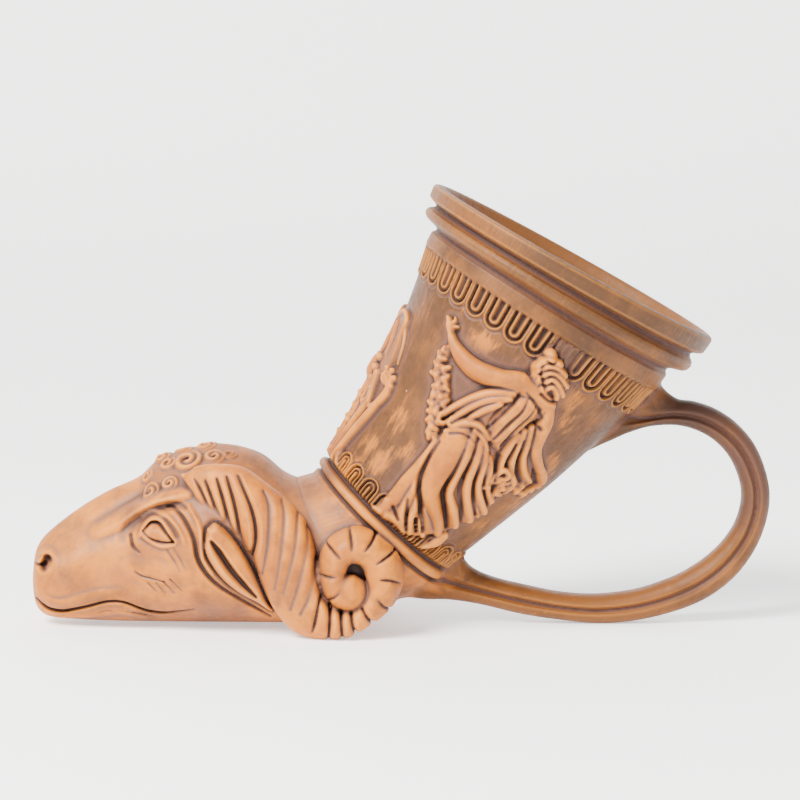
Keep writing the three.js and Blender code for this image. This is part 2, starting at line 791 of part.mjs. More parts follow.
// Everything below the table line, cut away so that the rests are flat
function tableCut() {

	const block = new THREE.BoxGeometry( headLength * 6, headWidth * 4, headHeight );
	block.translate( headLength, 0, - headHeight / 2 + restFlat );
	return solidOf( block );

}

function rhytonSolid() {

	const parts = [ bodySkin(), handle(), handleRoot(), ...curls(), ...tongues(), ...buds() ];
	for ( const side of [ nearSide, farSide ] ) {

		parts.push( horn( side ), ear( side ), eye( side ), ...faceRidges( side ) );
		parts.push( ...figure( dancerBody, dancerAngle, dancerHeight, side ) );

	}

	parts.push( ...figure( dancerFolds, dancerAngle, dancerHeight, nearSide ) );
	parts.push( ...figure( frontStrokes, 0, frontFigureHeight, nearSide ) );
	const cuts = [ cavity(), tableCut(), ...faceGrooves( nearSide ), ...faceGrooves( farSide ) ];
	return joined( parts ).subtract( joined( cuts ) );

}

const terracotta = new THREE.MeshStandardMaterial( { color: 0xc08a5e, roughness: 0.62, metalness: 0 } );

const rhytonGeometry = geometryOf( rhytonSolid() );
rhytonGeometry.computeBoundingBox();
const box = rhytonGeometry.boundingBox;

const rhyton = new THREE.Mesh( rhytonGeometry, terracotta );
rhyton.name = 'rhyton';
rhyton.position.set( - ( box.min.x + box.max.x ) / 2, - ( box.min.y + box.max.y ) / 2, - box.min.z );

const model = new THREE.Group();
model.add( rhyton );

export default model;
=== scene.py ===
"""Looks of a terracotta ram's-head rhyton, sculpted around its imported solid."""

import math

import bpy
import numpy as np
import openvdb as vdb
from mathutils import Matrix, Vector


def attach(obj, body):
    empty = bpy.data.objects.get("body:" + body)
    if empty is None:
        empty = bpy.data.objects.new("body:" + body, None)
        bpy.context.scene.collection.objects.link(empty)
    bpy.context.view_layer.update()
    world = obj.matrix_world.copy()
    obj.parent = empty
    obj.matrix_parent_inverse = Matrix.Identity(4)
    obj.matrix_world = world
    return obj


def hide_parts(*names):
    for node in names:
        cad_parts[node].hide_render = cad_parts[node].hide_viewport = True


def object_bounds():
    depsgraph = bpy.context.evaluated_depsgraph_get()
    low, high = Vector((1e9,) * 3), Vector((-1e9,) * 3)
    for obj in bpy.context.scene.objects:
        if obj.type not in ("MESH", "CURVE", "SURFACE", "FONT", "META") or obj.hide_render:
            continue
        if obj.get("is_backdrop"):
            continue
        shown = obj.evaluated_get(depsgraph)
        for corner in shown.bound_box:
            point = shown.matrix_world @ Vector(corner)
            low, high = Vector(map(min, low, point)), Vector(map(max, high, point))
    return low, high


bl_info = {
    "name": "Ram's-head rhyton",
    "version": (1, 0, 0),
    "blender": (4, 5, 0),
    "location": "View3D > Sidebar > Rhyton",
    "description": "Sculpts the fired vessel and sets the pale table it lies on",
    "category": "Object",
}

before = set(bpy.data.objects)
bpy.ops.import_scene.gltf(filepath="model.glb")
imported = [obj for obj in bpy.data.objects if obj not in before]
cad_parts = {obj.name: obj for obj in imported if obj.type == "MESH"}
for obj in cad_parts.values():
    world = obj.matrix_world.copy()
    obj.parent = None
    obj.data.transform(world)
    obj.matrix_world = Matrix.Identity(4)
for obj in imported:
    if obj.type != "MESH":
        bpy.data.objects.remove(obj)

# The sculpting space is in millimetres: X from the muzzle, Y across with the near side negative, Z up
MILLIMETRE = 0.001
SPACE_LOW = (-2.0, -55.0, -3.0)
SPACE_HIGH = (243.0, 55.0, 146.0)
MIDDLE_X = 119.715
TABLE_Z = 0.5

# Bend of the cup's middle line: place of the neck and slopes in degrees
NECK_X = 114.6
NECK_Z = 35.9
NECK_SLOPE = 46.0
MOUTH_SLOPE = 61.0

# Outer profile of the cup: along from the neck ring, radius
CUP_PROFILE = [
    (-8.0, 20.0), (-5.4, 25.8), (-4.7, 26.1), (-4.2, 25.3), (-3.6, 24.9), (-3.0, 25.6), (-2.6, 27.0),
    (-1.6, 27.5), (-0.6, 27.3), (0.1, 26.6), (0.6, 25.3), (1.2, 25.0), (1.9, 25.7), (2.4, 26.6),
    (5.0, 26.95), (10.0, 27.6), (20.0, 29.35), (30.0, 31.4), (40.0, 33.7), (50.0, 35.75), (60.0, 37.9),
    (70.0, 40.2), (78.0, 42.0), (81.0, 42.7), (81.9, 42.9), (82.3, 43.7), (83.0, 44.1), (87.2, 44.3),
    (88.0, 43.6), (88.9, 43.2), (89.8, 44.4), (90.9, 48.2), (91.8, 49.2), (93.0, 49.6), (94.2, 49.2),
    (95.2, 47.9), (96.0, 47.2), (96.8, 47.8), (97.6, 50.0), (98.2, 50.8), (100.6, 51.1), (102.4, 51.2),
    (103.0, 50.9), (103.4, 50.1),
]

# Its plain wall, between the neck ring and the mouldings, and where its lower end lies
WALL_PROFILE = CUP_PROFILE[13:27]
CUP_START = -8.0

# Hollow at the mouth: above the lip, radius
HOLLOW_MOUTH = [(-15.0, 39.7), (-8.1, 42.9), (-3.0, 46.2), (-1.0, 47.1), (0.0, 47.6), (1.5, 48.4)]

# Head stations from the muzzle to the nape, in hundredths of the head's length, height and half
# width: top along, top up, bottom along, bottom up, width at the crown, at the cheek and at the jaw
HEAD_STATIONS = [
    (0.5, 31, 0.7, 17, 10, 13, 13),
    (1.7, 42, 1.9, 9.6, 21, 31, 27),
    (5.7, 51.2, 5.7, 4.6, 29, 44, 39),
    (15.9, 64.2, 15.6, 3.0, 32, 52, 48),
    (26.1, 74.2, 26, 2.4, 35, 56, 52),
    (36.4, 81.9, 37.1, 2.0, 40, 65, 53),
    (43.1, 91.4, 46.9, 1.8, 52, 76, 58),
    (53.3, 97.2, 58.3, 1.8, 61, 87, 65),
    (65.2, 100, 70.8, 1.8, 68, 90, 71),
    (77.1, 95.3, 85.4, 1.8, 68, 88, 74),
    (85, 85.3, 100, 2.4, 68, 84, 77),
    (89.7, 81.4, 113.5, 5.8, 71, 82, 81),
]
FULLNESS = 0.86
JAW_FULLNESS = 0.45

# Features of the face in the side view: kind, path, half widths, depths. A cut goes in, a lift out.
FACE_MARKS = [
    # Brow
    ("lift", [
        (22, 32), (27, 34.5), (33, 38), (39, 41.6), (46, 44.4), (52, 45.6),
    ], [3, 3.6, 3.6, 3.2, 3, 2.4], [0.6, 1.4, 2, 2.2, 2, 1.2]),
    # Hollow under the brow
    ("cut", [
        (31.2, 31.2), (33.8, 35), (38.5, 38.4), (43, 40.8), (48, 42), (51.5, 41.4),
    ], [2.6, 3, 3, 2.6, 1.9, 1.2], [0.5, 1.1, 1.3, 1.3, 1.1, 0.5]),
    # Fold over the eye
    ("lift", [
        (37.4, 37.4), (41, 39.6), (45.6, 38.6), (49.6, 34.6), (51.6, 30),
    ], [1.1, 1.2, 1.3, 1.3, 1], [0.4, 0.7, 0.8, 0.7, 0.4]),
    # Eyeball
    ("lift", [(40.2, 33.8), (45.2, 33)], [4.2, 3.6], [2, 1.6]),
    # Upper lid
    ("lift", [
        (36.4, 32), (38.2, 35.3), (40.4, 37.5), (43.4, 37.4), (46.3, 34.6), (48.6, 30.8),
    ], [0.9, 1, 1.1, 1.1, 1, 0.8], [0.6, 1, 1.3, 1.3, 1.1, 0.6]),
    # Lower lid
    ("lift", [
        (37.2, 32.2), (40.3, 30.4), (44, 29.2), (48.4, 29.8),
    ], [0.8, 0.9, 1, 0.8], [0.5, 0.8, 0.9, 0.5]),
    # Line of the upper lid
    ("cut", [
        (37.6, 33.6), (38.9, 35), (40.5, 36.3), (42.9, 36.2), (45.3, 33.8), (47.8, 30.7),
    ], [0.5, 0.7, 0.8, 0.8, 0.7, 0.5], [0.8, 1.2, 1.4, 1.4, 1.3, 0.9]),
    # Line of the lower lid
    ("cut", [
        (37.6, 33.5), (40.3, 31.5), (43.9, 30.6), (47.8, 30.7),
    ], [0.4, 0.45, 0.5, 0.4], [0.6, 0.8, 0.9, 0.9]),
    # Line from the eye's front corner
    ("cut", [(33.6, 31.8), (34.4, 28.6), (36.6, 26.6)], [1, 1.1, 0.7], [1, 1.2, 0.6]),
    # Nostril
    ("cut", [(6.2, 22.6), (5, 20.4)], [2.2, 2], [3.2, 3]),
    # Slit of the nostril
    ("cut", [(5.2, 21.2), (3.4, 20.8), (0.8, 21.2)], [1, 0.7, 0.6], [1.8, 1.5, 1.2]),
    # Rim of the nostril
    ("lift", [
        (3.4, 24.4), (6.4, 25.6), (9, 23.8), (9.2, 21),
    ], [1.2, 1.4, 1.4, 1], [0.4, 0.6, 0.5, 0.2]),
    # Mouth
    ("cut", [
        (2.2, 9.6), (4.4, 7.9), (6.8, 6.4), (10.9, 6), (15.1, 7), (19.9, 8.3), (24.8, 9.8),
        (28.9, 10.2), (32.2, 9.6), (36, 8), (39.2, 6.9), (44.1, 6.4), (49, 7.2), (54, 8.2),
    ], [0.9, 1, 1.1, 0.9, 0.8, 0.8, 0.7, 0.7, 0.7, 0.7, 0.7, 0.7, 0.6, 0.4],
     [1.2, 1.6, 1.8, 1.6, 1.5, 1.4, 1.4, 1.4, 1.4, 1.4, 1.3, 1, 0.7, 0.4]),
    # Upper lip
    ("lift", [
        (3, 12.6), (7, 9.6), (12, 9.2), (18, 11.2), (25, 13), (31, 13),
    ], [1.4, 1.8, 2, 2, 2, 1.6], [0.3, 0.6, 0.7, 0.7, 0.6, 0.3]),
    # Lower lip
    ("lift", [
        (8, 3.6), (16, 4), (24, 5.6), (30, 6.4), (38, 4.2),
    ], [1.2, 1.4, 1.8, 1.8, 1.2], [0.3, 0.5, 0.7, 0.7, 0.4]),
    # Creases under the mouth
    ("cut", [(23.1, 5.9), (25.4, 6.6), (27.3, 6.6)], [0.35, 0.4, 0.35], [0.4, 0.5, 0.4]),
    ("cut", [(30.2, 6.9), (35.4, 5.9), (40.9, 4.7)], [0.35, 0.4, 0.35], [0.4, 0.5, 0.4]),
    # Fold of the cheek round the ear
    ("cut", [
        (45.4, 41.2), (47.8, 41), (51.3, 37.6), (54.3, 31.9), (55.6, 25.4), (58.6, 20.3),
        (63, 16.2), (68.8, 12.4), (74.1, 8.8), (78.2, 5.6),
    ], [0.7, 0.9, 1.1, 1.2, 1.2, 1.2, 1.1, 1, 0.9, 0.7],
     [0.6, 1, 1.4, 1.6, 1.7, 1.6, 1.4, 1.2, 1, 0.5]),
    # Roll before that fold
    ("lift", [
        (52.4, 42), (55.6, 37), (57, 31), (57.4, 25.6), (60.4, 20.8),
    ], [1.2, 1.5, 1.4, 1.2, 0.8], [0.4, 0.8, 1, 0.9, 0.5]),
    # Creases of the cheek
    ("cut", [
        (34.8, 20.6), (37.2, 19.2), (39.9, 18.7), (44.9, 17.7),
    ], [0.4, 0.6, 0.6, 0.4], [0.4, 0.8, 0.8, 0.5]),
    ("cut", [(39.4, 16.9), (42.2, 14.2)], [0.45, 0.3], [0.7, 0.3]),
    ("cut", [(42, 17.2), (44.9, 13.7)], [0.45, 0.3], [0.7, 0.3]),
    ("cut", [(44.3, 17.8), (47.9, 14)], [0.45, 0.3], [0.7, 0.3]),
    ("cut", [(46.5, 18.7), (50.5, 14.8)], [0.45, 0.3], [0.7, 0.3]),
    # Creases behind the eye
    ("cut", [(45.7, 28), (47.9, 24.8), (50.1, 21)], [0.5, 0.6, 0.4], [0.3, 0.4, 0.2]),
    ("cut", [(48, 28.4), (50, 25.2), (51.9, 21.6)], [0.5, 0.6, 0.4], [0.3, 0.4, 0.2]),
    # Fullness of the cheek
    ("lift", [(33, 22), (42, 20), (50, 21)], [4, 6, 5], [0.3, 0.9, 0.5]),
    # Hollow beside the crown
    ("cut", [
        (23, 35.6), (29, 39), (35.9, 42.8), (42, 46.2),
    ], [2.6, 3.6, 3.6, 2.6], [0.2, 0.5, 0.7, 0.5]),
]

# Ear in the side view: its leaf outline, its slit, its rounded edge and the bed cut round it
EAR_OUTLINE = [
    (58.6, 35.6), (61.0, 37.2), (63.8, 35.7), (67.9, 31.3), (71.9, 24.7), (75.2, 18.3), (77.6, 12.6),
    (79.0, 8.0), (74.0, 11.6), (69.2, 14.4), (64.4, 18.4), (60.6, 23.2), (58.0, 28.8),
]
EAR_SLIT = [(60.0, 31.8), (62.4, 28.4), (66.0, 22.8), (70.0, 18.0), (74.2, 13.6)]
EAR_SLIT_HALVES = [0.9, 1.7, 1.9, 1.6, 0.7]
EAR_SLIT_DEPTHS = [1.6, 3.4, 3.8, 3.2, 1.6]
EAR_EDGE = 2.2
EAR_BED_HALF = 1.6
EAR_BED_DEPTH = 0.8

# Horn: cross lines from the brow round the coil to the tip, inner edge then outer edge, side view
HORN_LINES = [
    (50, 52.4, 49.6, 49.8), (56.1, 54.4, 57.2, 40), (63.1, 55, 64.6, 33.4),
    (70.4, 53.8, 72.7, 24.8), (78.4, 48.4, 75.8, 16.5), (85.4, 42.9, 80, 8.9),
    (91.1, 35, 84.8, 3.2), (93.7, 23.9, 89.5, 0.9), (94.9, 15, 95.9, 0), (100, 10.2, 103.2, 0.9),
    (106.6, 10.8, 110.9, 5.1), (109.8, 16.2, 117.2, 10.8), (108.6, 21.4, 120.7, 19.1),
    (107.8, 23.6, 119.1, 27), (106.6, 24.8, 113.4, 32.8), (104.8, 25.1, 106.1, 36),
    (103.2, 24.5, 98.2, 32.6), (102.2, 23, 94.4, 25.4), (102, 21.6, 94.4, 17.6),
    (103, 20.8, 98, 11.4), (105.2, 20.6, 104.4, 10.2), (107.6, 20, 109.4, 12.2),
]

# How far out each cross line lies: its number, inner edge out, outer edge out, half thickness
HORN_OUT = [
    (0, 15.5, 16, 3), (1, 17.5, 20, 5), (2, 18.5, 22.5, 7), (3, 19.5, 25, 8.6), (5, 22.5, 27, 9.6),
    (7, 26, 28, 9), (9, 28.9, 28.9, 7.6), (11, 27.6, 29.6, 7.6), (15, 27.4, 30, 7.6),
    (18, 28, 30.8, 7.2), (20, 28.6, 31.2, 6.6), (21, 29.4, 31.4, 5),
]

# Growth grooves of the horn in the side view: path, half width, depth
HORN_GROOVES = [
    ([(54.4, 50.4), (57.0, 45.9), (59.8, 39.5)], 0.55, 1.0),
    ([(57.9, 50.3), (60.5, 43.4), (63.1, 35.5)], 0.6, 1.2),
    ([(61.6, 51.0), (64.1, 43.0), (66.3, 33.4)], 0.65, 1.3),
    ([(64.8, 51.6), (67.6, 42.1), (69.9, 29.4)], 0.65, 1.3),
    ([(68.4, 51.9), (73.0, 41.2), (74.2, 33.0), (72.6, 25.9)], 0.7, 1.4),
    ([(76.4, 47.4), (78.3, 42.1), (77.9, 31.0), (76.1, 21.5)], 0.8, 0.9),
    ([(82.2, 44.4), (83.1, 39.1), (82.1, 28.0), (80.2, 16.9)], 0.95, 0.8),
    ([(87.2, 40.3), (86.5, 29.6), (82.9, 15.8)], 1.0, 0.8),
    ([(90.0, 36.1), (90.3, 29.6), (88.1, 20.1), (85.2, 10.6)], 1.0, 0.8),
    ([(92.9, 26.4), (91.9, 16.9), (88.3, 9.2)], 0.9, 0.8),
    ([(94.4, 14.9), (93.2, 8.0), (92.0, 3.4)], 0.6, 0.9),
    ([(97.4, 12.4), (97.6, 7.4), (97.0, 0.6)], 0.6, 1.1),
    ([(101.0, 10.6), (101.2, 6.2), (101.4, 0.8)], 0.6, 1.1),
    ([(104.2, 10.2), (104.8, 5.5), (106.0, 1.6)], 0.6, 1.1),
    ([(107.8, 11.0), (109.6, 7.6), (111.8, 4.6)], 0.6, 1.1),
    ([(112.6, 14.0), (114.6, 11.4), (117.0, 9.6)], 0.5, 0.8),
    ([(113.6, 20.2), (116.4, 20.0), (119.6, 18.8)], 0.5, 0.8),
    ([(112.6, 25.4), (115.4, 27.2), (118.2, 28.8)], 0.5, 0.8),
    ([(108.8, 29.4), (110.8, 32.0), (112.4, 34.6)], 0.5, 0.8),
    ([(104.6, 29.6), (104.4, 32.4), (103.8, 35.6)], 0.5, 0.8),
    ([(101.0, 27.0), (98.6, 29.4), (96.4, 31.0)], 0.5, 0.8),
    ([(99.6, 21.0), (97.0, 21.2), (94.6, 21.4)], 0.5, 0.7),
    ([(101.2, 16.6), (99.2, 14.8), (97.0, 13.4)], 0.5, 0.7),
]

# Curls of wool on the crown: along, out from the middle line, radius, height, turn
WOOL_CURLS = [
    (51.3, 8.6, 5, 1.9, 1), (60, 9.6, 3.8, 1.5, -1), (39.9, 12, 3.6, 1.8, -1), (45, 7, 3, 1.5, 1),
    (46, 14, 3, 1.5, -1), (43, 1.8, 3.2, 1.4, -1), (49.6, 0, 3.6, 1.2, 1), (57, 2, 3.6, 1, -1),
    (38.6, 6.2, 2.6, 1.4, 1), (53.6, 15.2, 2.6, 1.2, 1), (65, 8.6, 2.6, 0.9, 1),
]

# Spiral of a curl: pitch and pit as shares of its radius, ground, ridge and pit's depth as shares of
# its height, and how far over and under the surface it reaches
CURL_PITCH = 0.62
CURL_PIT = 0.3
CURL_GROUND = 0.3
CURL_RIDGE = 1.1
CURL_PIT_DEPTH = 1.2
CURL_REACH = 3.5

# Figure on the upper side of the cup, one half of it: kind, path of angle and distance along,
# half widths, rises. A panel has the softness of its edge in place of the half widths.
FRONT_FIGURE = [
    ("panel", [
        (-1, 39.1), (12, 37.2), (18, 27.9), (22, 16.7), (22, 5.6), (17, 1.9), (-1, 1.9),
    ], [1.6], [1.3]),
    ("panel", [
        (-1, 57.7), (14, 58.6), (24, 53.9), (28, 43.7), (24, 37.2), (12, 33.5), (-1, 33.5),
    ], [1.4], [1]),
    ("round", [
        (4, 55.8), (12, 58.6), (20, 57.2), (21.3, 52.6), (22.4, 48.4), (24.3, 43.4),
    ], [1.2, 1.3, 1.4, 1.4, 1.2, 1], [1.9, 2, 2, 1.9, 1.6, 1.3]),
    ("round", [
        (14, 57.7), (21.8, 54.5), (27.5, 49.7), (30.6, 43.2),
    ], [0.9, 1.2, 1.2, 0.9], [1.4, 1.6, 1.4, 1]),
    ("round", [(8, 53.9), (12, 48.4), (14, 42.8)], [1.2, 1.4, 1], [1.9, 2, 1.6]),
    ("round", [(0, 55.8), (0, 50.2), (0, 46.5)], [1.4, 1.6, 1.2], [1.7, 2, 1.9]),
    ("round", [(0, 34.4), (1, 37.7)], [4, 3.4], [3.9, 3.5]),
    ("bump", [(8, 36.3)], [1.8], [3.2]),
    ("bump", [(6, 40)], [1.8], [3]),
    ("bump", [(10, 32.6)], [1.7], [2.9]),
    ("round", [(0, 40.9), (3, 46.5), (6, 53)], [1.6, 1.6, 1.2], [2.3, 2.2, 1.7]),
    ("bump", [(7, 25.1)], [2], [3.3]),
    ("bump", [(4, 20.9)], [1.8], [3]),
    ("bump", [(9, 15.8)], [1.9], [3.2]),
    ("bump", [(6, 10.2)], [1.8], [2.9]),
    ("bump", [(11, 4.7)], [1.7], [2.4]),
    ("round", [(27.5, 36.8), (31.5, 36.6)], [2.9, 2.7], [2.9, 2.6]),
    ("bump", [(24.5, 39.5)], [1.3], [2.4]),
    ("bump", [(30, 40)], [1.3], [2.3]),
    ("bump", [(34.5, 38.6)], [1.2], [2]),
    ("bump", [(35.5, 35.8)], [1.2], [2]),
    ("cut", [(25, 37.7), (29, 38.1), (33, 37.2)], [0.35], [0.8]),
    ("cut", [(26, 35.9), (29, 36.6), (32, 35.5)], [0.3], [0.6]),
    ("round", [(14.6, 35.1), (16.8, 30.8), (20.9, 27)], [2, 2, 1.6], [2.6, 2.4, 2.2]),
    ("round", [
        (33.8, 35.9), (34.6, 32.6), (31, 27.4), (26, 25.1),
    ], [1.6, 1.8, 1.6, 1.3], [2.4, 2.3, 2.2, 1.9]),
    ("round", [
        (33, 31.6), (31.5, 27.5), (28.2, 21.1), (24, 13.3), (21.5, 6.7), (20.3, 2.8),
    ], [1.5, 1.7, 1.8, 1.8, 1.7, 1.3], [1.9, 2.3, 2.4, 2.4, 2.2, 1.6]),
    ("round", [
        (22, 26), (18, 18.6), (15, 11.2), (14, 3.7),
    ], [1.6, 1.8, 1.6, 1.2], [2.2, 2.4, 2.2, 1.6]),
    ("round", [
        (0, 33.5), (0, 24.2), (0, 13), (0, 2.8),
    ], [2.6, 2.6, 2.4, 1.8], [2.4, 2.6, 2.4, 1.7]),
    ("round", [
        (6, 32.6), (8, 22.3), (9, 11.2), (9, 2.8),
    ], [1.5, 1.7, 1.7, 1.3], [2.2, 2.3, 2.2, 1.6]),
    ("round", [(10, 31.6), (12, 24.2), (20, 27.9)], [1.2, 1.3, 1], [2.2, 2, 1.6]),
    ("round", [(23, 5.6), (27, 3.7), (31, 2.4)], [1.4, 1.2, 0.8], [1.6, 1.3, 0.9]),
    ("cut", [(26.5, 24.2), (22, 14), (19, 4.7)], [0.6], [1.2]),
]

